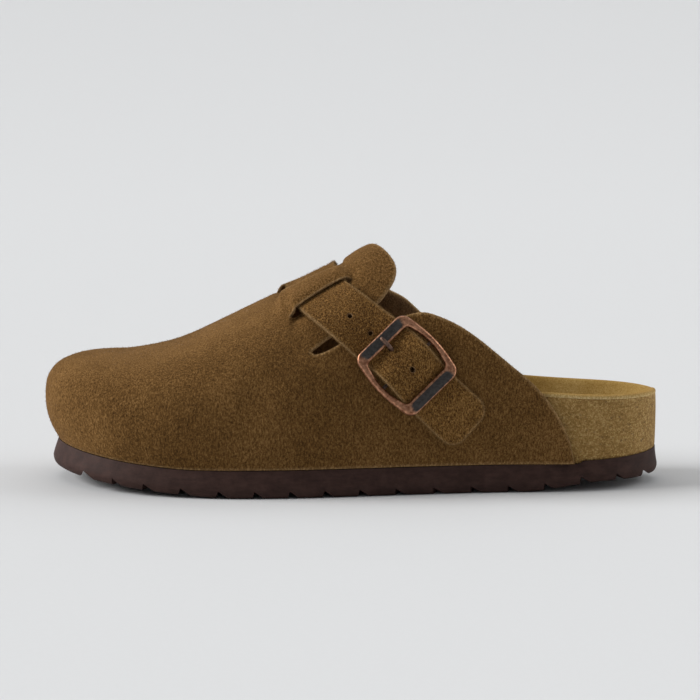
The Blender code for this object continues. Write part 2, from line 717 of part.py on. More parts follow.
def upper_surface(last, spacing):
    """The outer face of the upper in space, lifted where the strap runs."""
    flat, triangles = upper_pattern(last, spacing)
    used, triangles = np.unique(triangles, return_inverse=True)
    flat, triangles = flat[used], triangles.reshape(-1, 3)
    surface = last.point(flat[:, 0], flat[:, 1])
    behind = flat[:, 0] >= 0.0
    x = TOE_POLE_X + np.maximum(flat[:, 0], 0.0) * PATTERN_UNIT
    along = last.sections(flat[:, 0], flat[:, 1])[2][:, -1]
    girth = flat[:, 1] * along
    normal = last.place(x[behind], girth[behind])[1]
    surface[behind] += normal * leather_rise(x[behind], girth[behind])[:, None]
    faces = [tuple(triangle) for triangle in triangles.tolist()]
    return surface, faces


def build_upper(last):
    """The upper: one leather wall, cut for the throat, the tongue and the strap loop."""
    surface, faces = upper_surface(last, 6.1)
    solid, skin = thicken(surface, faces, -LEATHER, 0.0)
    return add_object("upper", solid, skin, "brown suede")


class Strap:
    """The strap's middle line over the pattern, and places across and along it."""

    def __init__(self, last):
        self.last = last
        table = np.array([row[1:] for row in STRAP], float)
        at = last.place(table[:, 0], table[:, 1])[0]
        chord = np.concatenate([[0.0], np.cumsum(np.linalg.norm(np.diff(at, axis=0), axis=1))])
        self.curves = [cubic_curve(chord, table[:, column]) for column in range(3)]
        self.length = chord[-1]
        self.stations = dict(zip([row[0] for row in STRAP], chord))

    def place(self, along, across):
        """Point on the leather, outward normal and lift at a distance along and across."""
        along = np.asarray(along, float)
        x, girth, lift = (curve(along) for curve in self.curves)
        step = 0.5
        ahead = np.minimum(along + step, self.length)
        behind = np.maximum(along - step, 0.0)
        rate_x = (self.curves[0](ahead) - self.curves[0](behind)) / (ahead - behind)
        rate_g = (self.curves[1](ahead) - self.curves[1](behind)) / (ahead - behind)
        _, normal, by_x, by_g = self.last.place(x, girth)
        forward = by_x * rate_x[:, None] + by_g * rate_g[:, None]
        forward /= np.linalg.norm(forward, axis=1)[:, None]
        sideways = np.cross(normal, forward)
        xx, xg, gg = ((p * q).sum(axis=1) for p, q in ((by_x, by_x), (by_x, by_g), (by_g, by_g)))
        sx, sg = (by_x * sideways).sum(axis=1), (by_g * sideways).sum(axis=1)
        area = xx * gg - xg * xg
        across_x = (sx * gg - sg * xg) / area
        across_g = (sg * xx - sx * xg) / area
        point, normal, _, _ = self.last.place(x + across * across_x, girth + across * across_g)
        return point, normal, forward, lift


def strap_surface(strap, place, spacing, columns):
    """Underside of the strap as an open surface, with its rounded tip."""
    rows = round(strap.length / spacing)
    places = np.linspace(0.0, strap.length, rows + 1)[:-2]
    turn = np.linspace(0.0, math.pi / 2.0, 5)
    places = np.concatenate([places, strap.length - TIP_RADIUS * (1.0 - np.sin(turn))])
    rows = len(places) - 1
    half = STRAP_WIDTH / 2.0
    shares = np.linspace(-1.0, 1.0, columns + 1)
    vertices = []
    zone_start = strap.stations["under the front bar"]
    zone_end = strap.stations["under the rear bar"]
    for at in places:
        from_tip = strap.length - at
        corner = max(0.0, TIP_RADIUS - from_tip)
        reach = half - (TIP_RADIUS - math.sqrt(max(0.0, TIP_RADIUS ** 2 - corner ** 2)))
        across = shares * reach
        point, normal, _, lift = strap.place(np.full(columns + 1, at), across)
        line = point + normal * lift[:, None]
        flat = smoothstep(zone_start - 16.0, zone_start - 3.0, at)
        flat *= 1.0 - smoothstep(zone_end + 3.0, zone_end + 16.0, at)
        out = (line - place.base) @ place.out
        level = out[columns // 2] - out
        vertices += list(line + flat * level[:, None] * place.out)
    faces = []
    for i in range(rows):
        for j in range(columns):
            first = i * (columns + 1) + j
            faces.append((first, first + columns + 1, first + columns + 2, first + 1))
    return vertices, faces


def build_strap(strap, place):
    """The strap from inside the inner quarter, through the loop and the buckle."""
    vertices, faces = strap_surface(strap, place, 4.2, 4)
    solid, skin = thicken(vertices, faces, 0.0, STRAP_LEATHER)
    body = add_object("strap", solid, skin, "brown suede")
    join(body, add_object("strap_prong_punch", *prong_solid(place, 0.4), "brown suede"), "DIFFERENCE")
    for i in (-2, -1, 1, 2):
        hole = strap_station(strap, place, PRONG_HOLE) + HOLE_PITCH * i
        point, normal, _, lift = strap.place(np.array([hole]), np.zeros(1))
        centre = point[0] + normal[0] * lift[0]
        punch = tube(centre - normal[0] * 3.0, centre + normal[0] * 5.0, HOLE_SIZE / 2.0, 8)
        join(body, add_object(f"strap_punch_{i + 2}", *punch, "brown suede"), "DIFFERENCE")
    return body


def strap_station(strap, place, along):
    """Distance along the strap at which it passes a place along the buckle."""
    stations = np.linspace(strap.stations["before the buckle"], strap.stations["behind the buckle"], 60)
    point, normal, _, lift = strap.place(stations, np.zeros(60))
    return float(np.interp(along, (point + normal * lift[:, None] - place.base) @ place.along, stations))


class BucklePlace:
    """A flat frame over the strap: along it, across it and away from the leather."""

    def __init__(self, strap):
        front = strap.stations["under the front bar"]
        rear = strap.stations["under the rear bar"]
        places = np.array([front, (front + rear) / 2.0, rear])
        point, normal, forward, lift = strap.place(places, np.zeros(3))
        top = point + normal * (lift + STRAP_LEATHER + GAP)[:, None]
        along = top[2] - top[0]
        along /= np.linalg.norm(along)
        out = normal[1] - along * (normal[1] @ along)
        out /= np.linalg.norm(out)
        self.along, self.out = along, out
        self.across = np.cross(out, along)
        self.base = (top[0] + top[2]) / 2.0
        self.leather = float((point[1] - self.base) @ out)

    def at(self, along, across, out):
        """Point in space of a place in the buckle's own frame."""
        return self.base + self.along * along + self.across * across + self.out * out


def ring_of(profile, path_points, closed=True):
    """Sweep a section along a path given as (centre, across, up) frames."""
    vertices, faces = [], []
    size = len(profile)
    for centre, side, up in path_points:
        vertices += [centre + side * p + up * q for p, q in profile]
    count = len(path_points)
    for i in range(count if closed else count - 1):
        faces += bridge(i * size, ((i + 1) % count) * size, size)
    if not closed:
        faces.append(tuple(range(size - 1, -1, -1)))
        faces.append(tuple((count - 1) * size + j for j in range(size)))
    return vertices, faces


def buckle_outline(length, width, bow, corner, count):
    """Rounded rectangle with bowed long sides, as along and across."""
    points = []
    for quadrant in range(4):
        sign_u = 1.0 if quadrant in (0, 3) else -1.0
        sign_v = 1.0 if quadrant in (0, 1) else -1.0
        for i in range(count):
            share = i / (count - 1)
            angle = share * math.pi / 2.0
            if quadrant in (1, 3):
                angle = math.pi / 2.0 - angle
            u = length / 2.0 - corner + corner * math.cos(angle)
            v = width / 2.0 - corner + corner * math.sin(angle)
            points.append([sign_u * u, sign_v * v])
    points = np.array(points)
    result = []
    for first, second in zip(points, np.roll(points, -1, axis=0)):
        result.append(first)
        steps = 5 if np.hypot(*(second - first)) > 3.0 * corner else 1
        for i in range(1, steps):
            result.append(first + (second - first) * i / steps)
    result = np.array(result)
    swell = np.cos(np.clip(result[:, 0] / length, -0.5, 0.5) * math.pi)
    result[:, 1] += np.sign(result[:, 1]) * bow * swell
    return result


def build_buckle_frame(place):
    """The four-sided frame, two flat bars and two bowed rods, with its hinge bar across."""
    outer = buckle_outline(BUCKLE_LENGTH, BUCKLE_WIDTH, BUCKLE_BOW, 3.6, 6)
    window = np.array([BUCKLE_LENGTH - 2.0 * BUCKLE_BAR, BUCKLE_WIDTH - 2.0 * BUCKLE_ROD])
    scale = window / np.array([BUCKLE_LENGTH, BUCKLE_WIDTH])
    inner = buckle_outline(BUCKLE_LENGTH, BUCKLE_WIDTH, BUCKLE_BOW, 2.6, 6) * scale
    section = [
        (0.0, 0.4), (0.0, BUCKLE_THICKNESS - 0.6), (0.22, BUCKLE_THICKNESS), (0.78, BUCKLE_THICKNESS),
        (1.0, BUCKLE_THICKNESS - 0.6), (1.0, 0.4), (0.78, 0.0), (0.22, 0.0),
    ]
    size = len(outer)
    vertices = []
    faces = []
    for level, (share, out) in enumerate(section):
        vertices += [place.at(u, v, out) for u, v in outer + (inner - outer) * share]
        faces += bridge(level * size, ((level + 1) % len(section)) * size, size)
    frame = add_object("buckle_frame", vertices, faces, "antique copper")
    end = BUCKLE_WIDTH / 2.0 + BUCKLE_BOW - 0.5 * BUCKLE_ROD
    bar = tube(place.at(0.0, -end, HINGE_HEIGHT), place.at(0.0, end, HINGE_HEIGHT), HINGE_RADIUS, 10)
    join(frame, add_object("buckle_hinge_tool", *bar, "antique copper"), "UNION")
    return frame


def join(body, tool, operation):
    """Join or cut a body with a tool that isn't part of the shoe."""
    tool.hide_render = True
    tool.display_type = "WIRE"
    step = body.modifiers.new(tool.name, "BOOLEAN")
    step.operation = operation
    step.solver = "EXACT"
    step.object = tool


def prong_solid(place, extra):
    """The pin of the prong, with its radius grown by extra."""
    resting = BUCKLE_THICKNESS + PRONG_RADIUS + 0.15
    route = [
        (-HINGE_RADIUS - 0.9, HINGE_HEIGHT, 0.7), (-4.5, HINGE_HEIGHT - 0.3, 0.7),
        (-7.0, HINGE_HEIGHT - 0.3, 0.7), (-9.2, 0.9, 0.75), (PRONG_HOLE - 1.4, resting + 0.1, 0.8),
        (-14.0, resting + 0.05, 0.85), (-16.6, resting, 0.85), (-17.3, resting - 0.1, 0.5),
    ]
    sides_count = 8
    angles = np.linspace(0.0, 2.0 * math.pi, sides_count, endpoint=False)
    vertices, faces = [], []
    for i, (u, out, radius) in enumerate(route):
        behind, ahead = route[max(i - 1, 0)], route[min(i + 1, len(route) - 1)]
        run, climb = ahead[0] - behind[0], ahead[1] - behind[1]
        length = math.hypot(run, climb)
        for angle in angles:
            off = (radius + extra) * math.sin(angle)
            side = (radius + extra) * math.cos(angle)
            vertices.append(place.at(u - climb / length * off, side, out + run / length * off))
        if i:
            faces += bridge((i - 1) * sides_count, i * sides_count, sides_count)
    last = (len(route) - 1) * sides_count
    faces.append(tuple(range(sides_count)))
    faces.append(tuple(last + j for j in reversed(range(sides_count))))
    return vertices, faces


def build_buckle_prong(place):
    """The prong: a collar round the hinge bar and a pin through the strap onto the front bar."""
    prong = add_object("buckle_prong", *prong_solid(place, 0.0), "antique copper")
    collar = collar_solid(place, COLLAR_RADIUS, HINGE_RADIUS + 0.25, 1.1)
    join(prong, add_object("prong_collar_tool", *collar, "antique copper"), "UNION")
    return prong


def collar_solid(place, outer, inner, half):
    """A short ring round the hinge bar."""
    count = 14
    vertices, faces = [], []
    for radius, v in ((outer, -half), (outer, half), (inner, half), (inner, -half)):
        for angle in np.linspace(0.0, 2.0 * math.pi, count, endpoint=False):
            vertices.append(place.at(radius * math.cos(angle), v, HINGE_HEIGHT + radius * math.sin(angle)))
    for level in range(4):
        faces += bridge(level * count, ((level + 1) % 4) * count, count)
    return vertices, faces


def build_buckle_tab(place):
    """The leather tab folded round the hinge bar and sewn to the quarter behind it."""
    leather = place.leather + GAP + 0.1
    profile = []
    for angle in np.linspace(math.radians(80.0), math.radians(280.0), 10):
        profile.append((COLLAR_RADIUS * math.cos(angle), HINGE_HEIGHT + COLLAR_RADIUS * math.sin(angle)))
    profile += [(4.0, leather - 0.1), (TAB_LENGTH, leather - 0.5)]
    profile += [(TAB_LENGTH, leather + 1.4), (4.5, leather + 2.5)]
    half = TAB_WIDTH / 2.0
    vertices = [place.at(u, v, out) for v in (-half, half) for u, out in profile]
    size = len(profile)
    faces = bridge(0, size, size) + [tuple(range(size)), tuple(size + j for j in reversed(range(size)))]
    tab = add_object("buckle_tab", vertices, faces, "brown suede")
    start = place.at(0.0, -half - 2.0, HINGE_HEIGHT)
    end = place.at(0.0, half + 2.0, HINGE_HEIGHT)
    bore = tube(start, end, HINGE_RADIUS + 0.25, 12)
    join(tab, add_object("tab_bore_tool", *bore, "brown suede"), "DIFFERENCE")
    notch = box_solid(place, (-4.0, 2.6), (-1.5, 1.5), (-6.0, 6.0))
    join(tab, add_object("tab_notch_tool", *notch, "brown suede"), "DIFFERENCE")
    return tab


def box_solid(place, along, across, out):
    """A box in the buckle's frame."""
    vertices = [place.at(u, v, w) for w in out for u, v in (
        (along[0], across[0]), (along[1], across[0]), (along[1], across[1]), (along[0], across[1]))]
    faces = bridge(0, 4, 4) + [(3, 2, 1, 0), (4, 5, 6, 7)]
    return vertices, faces


def tube(start, end, radius, sides_count):
    """A straight round bar."""
    axis = (end - start) / np.linalg.norm(end - start)
    side = np.cross(axis, [0.0, 0.0, 1.0])
    side /= np.linalg.norm(side)
    up = np.cross(side, axis)
    angles = np.linspace(0.0, 2.0 * math.pi, sides_count, endpoint=False)
    profile = [(radius * math.cos(angle), radius * math.sin(angle)) for angle in angles]
    return ring_of(profile, [(start, side, up), (end, side, up)], closed=False)


def make_outward(body):
    """Turn a body's faces outward."""
    mesh = bmesh.new()
    mesh.from_mesh(body.data)
    bmesh.ops.recalc_face_normals(mesh, faces=mesh.faces)
    mesh.to_mesh(body.data)
    mesh.free()


def centre_on_ground(bodies):
    """Move everything so that the middle of its box is at the origin, with the tread on Z 0."""
    corners = []
    for body in bodies:
        coordinates = np.empty(len(body.data.vertices) * 3)
        body.data.vertices.foreach_get("co", coordinates)
        corners.append(coordinates.reshape(-1, 3))
    cloud = np.concatenate(corners)
    low, high = cloud.min(axis=0), cloud.max(axis=0)
    shift = Vector((-(low[0] + high[0]) / 2.0, -(low[1] + high[1]) / 2.0, 0.0))
    for body in bpy.data.objects:
        body.location = shift


def main():
    for old in list(bpy.data.objects):
        bpy.data.objects.remove(old, do_unlink=True)
    last = Last()
    strap = Strap(last)
    place = BucklePlace(strap)
    bodies = [build_outsole(), build_footbed(), build_insole()]
    bodies += [build_upper(last), build_strap(strap, place)]
    bodies += [build_buckle_frame(place), build_buckle_prong(place), build_buckle_tab(place)]
    for body in bpy.data.objects:
        make_outward(body)
    centre_on_ground(bodies)


if __name__ == "__main__":
    main()
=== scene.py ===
"""Looks of the clog slipper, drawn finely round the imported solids.

Sizes are in millimetres until a piece is made. The toe points along -X, the outer side
of the foot faces -Y and Z is up.
"""
import math

import bmesh
import bpy
import numpy as np
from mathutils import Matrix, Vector, noise
from mathutils.geometry import delaunay_2d_cdt
from mathutils.kdtree import KDTree


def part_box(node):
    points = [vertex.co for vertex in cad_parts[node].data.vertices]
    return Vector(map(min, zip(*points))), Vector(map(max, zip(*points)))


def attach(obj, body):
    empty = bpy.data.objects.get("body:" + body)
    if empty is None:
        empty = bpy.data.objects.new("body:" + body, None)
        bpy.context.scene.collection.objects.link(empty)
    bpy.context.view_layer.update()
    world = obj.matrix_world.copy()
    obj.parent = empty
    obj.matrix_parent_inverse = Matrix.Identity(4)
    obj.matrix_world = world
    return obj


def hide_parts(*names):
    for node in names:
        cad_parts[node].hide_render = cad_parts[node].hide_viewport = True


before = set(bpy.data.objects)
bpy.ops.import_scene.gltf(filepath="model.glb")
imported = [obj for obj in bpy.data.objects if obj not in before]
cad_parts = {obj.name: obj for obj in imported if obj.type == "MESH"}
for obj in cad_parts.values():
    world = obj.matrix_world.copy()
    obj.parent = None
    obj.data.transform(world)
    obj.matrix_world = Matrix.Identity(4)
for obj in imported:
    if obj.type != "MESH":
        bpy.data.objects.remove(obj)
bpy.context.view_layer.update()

MM = 0.001

# Driving sizes of an EU 42 shoe
SOLE_LENGTH = 286.0
SOLE_THICKNESS = 12.5
LEATHER = 2.2
STRAP_LEATHER = 2.0
STRAP_WIDTH = 25.0
# Clearance between neighbouring pieces
GAP = 0.35

# How the tread and the top of the sole curl up at the toe: rise, where it starts, and its power
TREAD_SPRING = (6.8, -55.0, 1.25)
TOP_SPRING = (6.5, -72.0, 1.5)
# The heel: the tread's bevel between two places, and the rise of the sole's top
HEEL_BEVEL = (4.2, 76.0, 116.0)
HEEL_TOP_RISE = (2.4, 104.0, 1.5)
# Step of the sole's top under the bare cork: its height, and the two places it rises between
HEEL_STEP = (1.4, 103.0, 106.0)
# How far the cork stands in at the toe, how much less at the heel, and where that changes
CORK_INSET = (5.3, 4.2, 70.0, 140.0)

# Outline of the sole from above: name, x, y
SOLE_OUTLINE = [
    ("toe tip", -143, 10),
    ("toe, outer side", -135, -15),
    ("little toe", -116, -35),
    ("outer ball, front", -84, -48.3),
    ("outer ball", -50, -52),
    ("outer waist, front", -12, -48.5),
    ("outer waist", 28, -42),
    ("outer heel, front", 66, -37),
    ("outer heel", 102, -34.3),
    ("heel corner, outer", 129, -24.5),
    ("heel end", 143, -1),
    ("heel corner, inner", 130, 22.5),
    ("inner heel", 102, 33),
    ("inner heel, front", 64, 34),
    ("inner arch", 24, 37),
    ("inner waist, front", -14, 44.5),
    ("inner ball", -50, 52),
    ("big toe joint", -84, 51),
    ("big toe", -116, 44),
    ("toe, inner side", -136, 30),
]

# Sections of the last: x, ridge y, ridge z, fullness and bulge of each side
LAST = {
    "x": [-108, -85, -60, -30, 0, 30, 60, 112],
    "ridge_y": [9, 10, 11, 12, 12, 11, 8, 3],
    "ridge_z": [59.7, 64.2, 75.5, 90.0, 105.0, 117, 123, 124],
    "full_outer": [2.8, 2.6, 2.3, 2.05, 1.9, 1.9, 2.2, 2.8],
    "full_inner": [2.8, 2.6, 2.4, 2.1, 2.0, 2.0, 2.2, 2.8],
    "bulge": [4.5, 3.5, 2.5, 2.0, 1.5, 1.0, 0.6, 0.3],
}
# Fullness and bulge at the very front of the last
TOE_FULLNESS = 3.2
TOE_BULGE = 6.0
# Height of the last's widest line over its foot
WIDEST_HEIGHT = 18.0
# Points up the last below and above its widest line
SECTION_STEPS = (20, 120)
# Place over the toe from which the pattern fans out, and millimetres to one share of its length
TOE_POLE_X = -108.0
PATTERN_UNIT = 80.0

# Footbed: x, rim height of each side, floor height, and how far in the dish reaches
FOOTBED = {
    "x": [-143, -100, -60, -20, 20, 60, 80, 100, 143],
    "rim_outer": [33.0, 29.5, 27.0, 28.5, 34.0, 42.5, 44.0, 43.0, 41.5],
    "rim_inner": [33.0, 30.0, 28.0, 33.0, 42.0, 45.0, 43.4, 41.8, 41.0],
    "floor": [26.0, 22.0, 20.0, 20.5, 23.5, 25.0, 24.0, 23.0, 26.0],
    "reach": [24.0, 22.0, 22.0, 26.0, 30.0, 31.0, 31.0, 31.0, 31.0],
}
# How steeply the dish falls from the rim, and the width of the rim
DISH_POWER = 2.5
RIM_WIDTH = 3.6
# The rounded rim from the outside in: inset, and how far it lies under the rim's height
RIM_ROUNDING = ((1.0, 0.35), (0.6 * RIM_WIDTH, 0.0), (RIM_WIDTH, 0.7))

# The part of the pattern round the strap loop, in shares, which is meshed more finely
THROAT = ((0.86, 1.38), (-0.42, 0.22))

# Edges of the upper in the pattern: x and girth
OUTER_EDGE = [
    (-19.6, -61.6), (-18.4, -63.2), (-16.0, -63.8), (-8.7, -62.3), (9.0, -57.4), (22.0, -55.6),
    (31.7, -55.6), (38.0, -58.4), (46.0, -63.2), (55.0, -69.9), (64.5, -78.1), (73.0, -85.5),
    (80.5, -92.0), (86.5, -98.4), (91.5, -105.4), (96.0, -113.3), (99.0, -120.5),
]
INNER_EDGE = [
    (-37.0, 9.4), (-26.0, 10.2), (-14.0, 11.6), (-4.0, 15.2), (6.0, 22.6), (16.5, 33.2), (24.0, 39.6),
    (32.0, 49.2), (44.0, 60.5), (58.0, 73.0), (74.0, 87.0), (86.0, 99.0), (94.0, 111.5), (99.0, 122.0),
]
TONGUE_EDGE = [
    (-19.4, -60.8), (-13.2, -57.4), (-3.0, -52.8), (5.0, -49.0), (10.7, -45.3), (15.6, -40.0),
    (18.6, -34.4), (19.2, -29.4), (17.0, -21.6), (13.4, -13.4), (9.6, -5.6), (5.4, 1.4),
    (-0.6, 6.4), (-9.0, 8.6), (-20.0, 8.6), (-36.5, 8.0),
]
QUARTER_END_X = 101.0
# Millimetres of the pattern's side, of the toe round its pole, and of the fan's widest arc
PATTERN_SIDE = 104.0
TOE_ARC = 120.0
FAN_REACH = 74.0
FAN_ARC = 130.0

# Slits of the strap loop: x and girth along each one
OUTER_SLIT = [(-29.4, -38.0), (-20.2, -32.4), (-14.7, -30.0), (-9.2, -28.2), (-1.2, -26.4)]
INNER_SLIT = [(-35.4, -15.2), (-27.0, -13.2), (-20.0, -13.0), (-12.0, -13.6), (-4.2, -14.8)]
# A place on the rear edge of the strap, in the pattern, and the direction away from that edge
STRAP_REAR = (-2.0, -28.0)
STRAP_REAR_NORMAL = (0.82, 0.57)
# Width of a slit, and how far inside its ends the leather has lifted
SLIT_WIDTH = 0.9
SLIT_EASE = 2.4
# How far the strap lifts the loop over it, and the quarter's lip and the tongue beside it
LOOP_RISE = 3.75
QUARTER_LIP_RISE = 4.3
QUARTER_LIP_REACH = 17.0
TONGUE_RISE = 2.7
TONGUE_EASE = 9.0
# Girth of the tongue's middle, how wide its lift spreads, and where it ends as x and girth
TONGUE_MIDDLE = -16.0
TONGUE_SPREAD = 22.0
TONGUE_END = (20.0, 9.2)
# How far the strap presses the lips of the outer and the inner slit, and how far from them
LIP_DROP = 2.3
LIP_REACH = (8.0, 5.0)
# How far it presses the leather between the loop and the quarter, and where that fades
PRESSED_DROP = 1.5
PRESSED_REACH = 40.0
# Girth before the quarter's edge at which its lip takes over
LIP_EDGE = 0.8
# Runs along X, each with the two places it eases in between and the two it eases out between
PRESSED_RUN = (-38.0, -34.8, -6.2, -4.4)
QUARTER_LIP_RUN = (-39.0, -33.5, -7.0, 20.0)
PARED_RUN = (-42.0, -36.0, 0.0, 10.0)

# Strap: name, x and girth of its middle, and how far its underside is off the leather
STRAP = [
    ("sewn end, inside the quarter", -11.0, 33.0, -4.3),
    ("under the quarter", -15.5, 22.0, -2.2),
    ("out of the quarter", -19.0, 11.0, -0.6),
    ("over the tongue", -20.2, 1.0, -0.8),
    ("before the loop", -20.0, -7.5, -0.95),
    ("into the loop", -19.3, -13.0, -1.15),
    ("under the loop", -17.6, -21.5, -1.4),
    ("out of the loop", -15.0, -30.0, -1.15),
    ("down the side", -10.6, -38.5, 0.4),
    ("before the buckle", 1.3, -54.2, 1.5),
    ("under the front bar", 14.2, -68.4, 2.3),
    ("over the hinge", 23.1, -79.0, 6.75),
    ("under the rear bar", 32.1, -89.9, 2.5),
    ("behind the buckle", 41.0, -99.6, 1.3),
    ("tip", 53.6, -112.2, 0.8),
]
HOLE_PITCH = 12.0
HOLE_RADIUS = 1.3
TIP_RADIUS = 7.0
# How far from the strap's middle line the fuzz and the pale edges start, beside the holes, where the
# holes' walls are painted dark as shade
HOLE_CLEAR = 6.0
# How far before and behind the buckle's bars the strap turns flat
FLAT_REACH = (16.0, 3.0)

# Buckle, its flat bars across the strap and its bowed rods along it
BUCKLE_LENGTH = 37.5
BUCKLE_WIDTH = 30.4
BUCKLE_BAR = 5.8
BUCKLE_ROD = 2.5
BUCKLE_THICKNESS = 2.3
BUCKLE_BOW = 2.6
# Corner radii outside and inside, and the crown of the bars and rods
BUCKLE_CORNERS = (3.6, 2.6)
BAR_CROWN = 0.25
# Rounding of the rods' section, and how much less of it the bars have
ROD_ROUNDING = 1.14
BAR_SHARPER = 0.5
# Hinge bar over the buckle's middle plane, the prong's collar round it, and the prong
HINGE_RADIUS = 0.8
HINGE_HEIGHT = 0.2
COLLAR_RADIUS = 1.9
PRONG_RADIUS = 0.8
# How dark the flats of the bars are, how dark the hinge bar is kept as painted shade under the strap,
# and how bright the prong is rubbed
BAR_DARK = 1.15
HINGE_PAINTED_SHADE = 0.45
PRONG_WORN = 0.5
# Where along the buckle the prong goes through its hole
PRONG_HOLE = -9.8
TAB_WIDTH = 18.0
TAB_LENGTH = 9.0

# Main grooves of the tread, and the corners of their section as shares of width and depth
GROOVE_PITCH = 16.4
GROOVE_SHIFT = 6.0
GROOVE_DEPTH = 3.5
GROOVE_WIDTH = 5.4
GROOVE_WAVE = 2.0
GROOVE_SHAPE = ((-0.5, -0.5), (1.1, -0.5), (-0.3, 1.0))

# Fineness of the pieces: spacing of the leather's points, in millimetres, and grid counts
UPPER_SPACING = 1.9
STRAP_SPACING = 1.15
CORK_GRID = (150, 34)
SOLE_GRID = (230, 44)
# Edges with a sharper turn than this stay crisp, in degrees
SOLE_SHARP = 32.0
BUCKLE_SHARP = 50.0
# Rounding of a cut edge: share of the thickness, share of the rounding
EDGE_ROUNDING = [(0.12, 0.75), (0.5, 1.0), (0.88, 0.75)]
# How far from a cut edge its paler and fuzzier strip fades, in millimetres
EDGE_REACH = 1.3
# How much thinner the leather is pared at the slits, and how far from them, in millimetres
PARED = 1.25
PARED_REACH = 3.2
# Soft ripples of the leather: height, size and seed
UPPER_RIPPLES = ((0.22, 24.0, 1), (0.06, 5.0, 2))
STRAP_RIPPLE = (0.07, 6.0, 3)
LINING_RIPPLE = (0.05, 7.0, 4)
# How far the cut edges swell out
UPPER_ROLL = 0.2
STRAP_ROLL = 0.22
LINING_ROLL = 0.12
# Fibres: how many stand on the open face against the edges, and their sizes in metres
UPPER_NAP = 0.22
STRAP_NAP = 0.4
UPPER_FIBRES = {"Density": 1.3e6, "Length": 0.0010, "Thickness": 0.00012, "Lean": 0.95, "Seed": 5}
STRAP_FIBRES = {"Density": 2.6e6, "Length": 0.0013, "Thickness": 0.00014, "Lean": 0.95, "Seed": 9}

# Side of the cork: inset, distance below the rim, share of the height
CORK_SIDE = [
    (0.75, -0.02, 1.0), (0.25, -0.02, 1.0), (0.12, 0.2, 1.0), (0.05, 1.2, 1.0), (-0.1, 5.0, 1.0),
    (-0.15, 5.0, 0.75), (-0.1, 5.0, 0.5), (0.0, 5.0, 0.25), (0.1, 5.0, 0.08), (0.5, 5.0, 0.0),
]
# How deep the cork sits in the sole
CORK_SEAT = 0.4
# Lining: its thickness and the height of its face over the cork
LINING = 1.15
LINING_TOP = 1.8
# Edge of the lining from the outside in: inset, height over the cork's rim
LINING_EDGE = [
    (0.1, 0.0), (0.02, 0.45), (0.06, 0.95), (0.3, 1.4), (0.75, 1.72), (1.3, 1.86), (1.9, 1.88),
]
# Inset of the tread's edge, and the side of the sole as shares of its height with their insets
TREAD_INSET = 2.6
FINE_SOLE_SIDE = [
    (0.0, 2.3), (0.012, 1.7), (0.04, 1.1), (0.09, 0.6), (0.16, 0.25), (0.24, 0.05), (0.32, 0.0),
    (0.45, 0.4), (0.6, 0.93), (0.8, 1.75), (0.97, 2.45), (1.0, 2.6),
]
# Fine ribs of the tread: from one to the next, depth, and height and length of their waves
RIB_PITCH = 6.2
RIB_DEPTH = 0.7
RIB_WAVE = 1.1
RIB_TURN = 13.0

# The folds of one side fade out at this y, between the two sides
RELIEF_MIDDLE = 10.0
# Folds and hollows of the leather: side (-1 outer), start and end as x and z, width, rise
SOFT_RELIEF = [
    ("dent beside the toes", -1, (-112.0, 47.0), (-94.0, 40.0), 7.0, -1.4),
    ("ridge under the dent", -1, (-122.0, 40.0), (-104.0, 30.0), 8.0, 0.51),
    ("hollow over the ball", -1, (-70.0, 52.0), (-48.0, 38.0), 10.0, -0.77),
    ("fold from the ball to the instep", -1, (-46.0, 46.0), (-26.0, 66.0), 6.0, -0.68),
    ("soft swell before the slit", -1, (-38.0, 60.0), (-12.0, 52.0), 7.0, 0.77),
    ("fold below the notch", -1, (-16.0, 46.0), (8.0, 36.0), 8.0, -0.68),
    ("waist hollow", -1, (10.0, 30.0), (44.0, 26.0), 9.0, -0.85),
    ("swell of the quarter", -1, (52.0, 44.0), (80.0, 34.0), 10.0, 0.68),
    ("dent beside the big toe", 1, (-112.0, 46.0), (-92.0, 38.0), 7.0, -1.0),
    ("flex fold, inner side", 1, (-60.0, 36.0), (-38.0, 60.0), 7.0, -0.85),
    ("hollow of the inner waist", 1, (0.0, 34.0), (40.0, 32.0), 11.0, -1.0),
]

# Colours; those with several tones go from dark to light
SHEEN_TINT = (0.74, 0.40, 0.14)
SUEDE_TONES = ((0.042, 0.0185, 0.0043), (0.122, 0.060, 0.0165), (0.262, 0.142, 0.050))
STRAP_TONES = ((0.040, 0.0165, 0.0036), (0.132, 0.0635, 0.0165), (0.330, 0.178, 0.057))
FLESH_TONES = ((0.100, 0.056, 0.026), (0.215, 0.128, 0.064), (0.36, 0.225, 0.120))
EDGE_TONES = ((0.110, 0.064, 0.028), (0.400, 0.255, 0.120))
FIBRE_TONES = ((0.130, 0.068, 0.022), (0.400, 0.250, 0.105))
TAN_TONES = ((0.185, 0.102, 0.025), (0.330, 0.198, 0.052), (0.540, 0.370, 0.140))
SUEDE_RIM = (0.42, 0.26, 0.115)
TAN_EDGE_TONES = ((0.46, 0.32, 0.13), (0.72, 0.56, 0.30))
CORK_TONES = [
    (0.05, (0.150, 0.076, 0.017)), (0.5, (0.315, 0.184, 0.055)), (0.95, (0.55, 0.365, 0.150)),
]
CORK_PALE = (0.50, 0.36, 0.13)
CORK_SPECK = (0.085, 0.040, 0.012)
RUBBER_DARK = (0.0290, 0.0142, 0.0115)
RUBBER_LIGHT = (0.062, 0.0325, 0.0262)
COPPER_DEEP = (0.22, 0.092, 0.050)
COPPER_BRIGHT = (0.58, 0.300, 0.180)
COPPER_DARK = (0.030, 0.027, 0.026)
COPPER_GREY = (0.076, 0.070, 0.067)
FLOOR_TONES = ((0.660, 0.665, 0.670), (0.673, 0.678, 0.683))

# Floor in metres: its end in front, where it bends up behind, the bend, and half its width
FLOOR_FRONT = 12.0
FLOOR_BACK = 1.6
FLOOR_BEND = 8.0
FLOOR_SIDE = 20.0

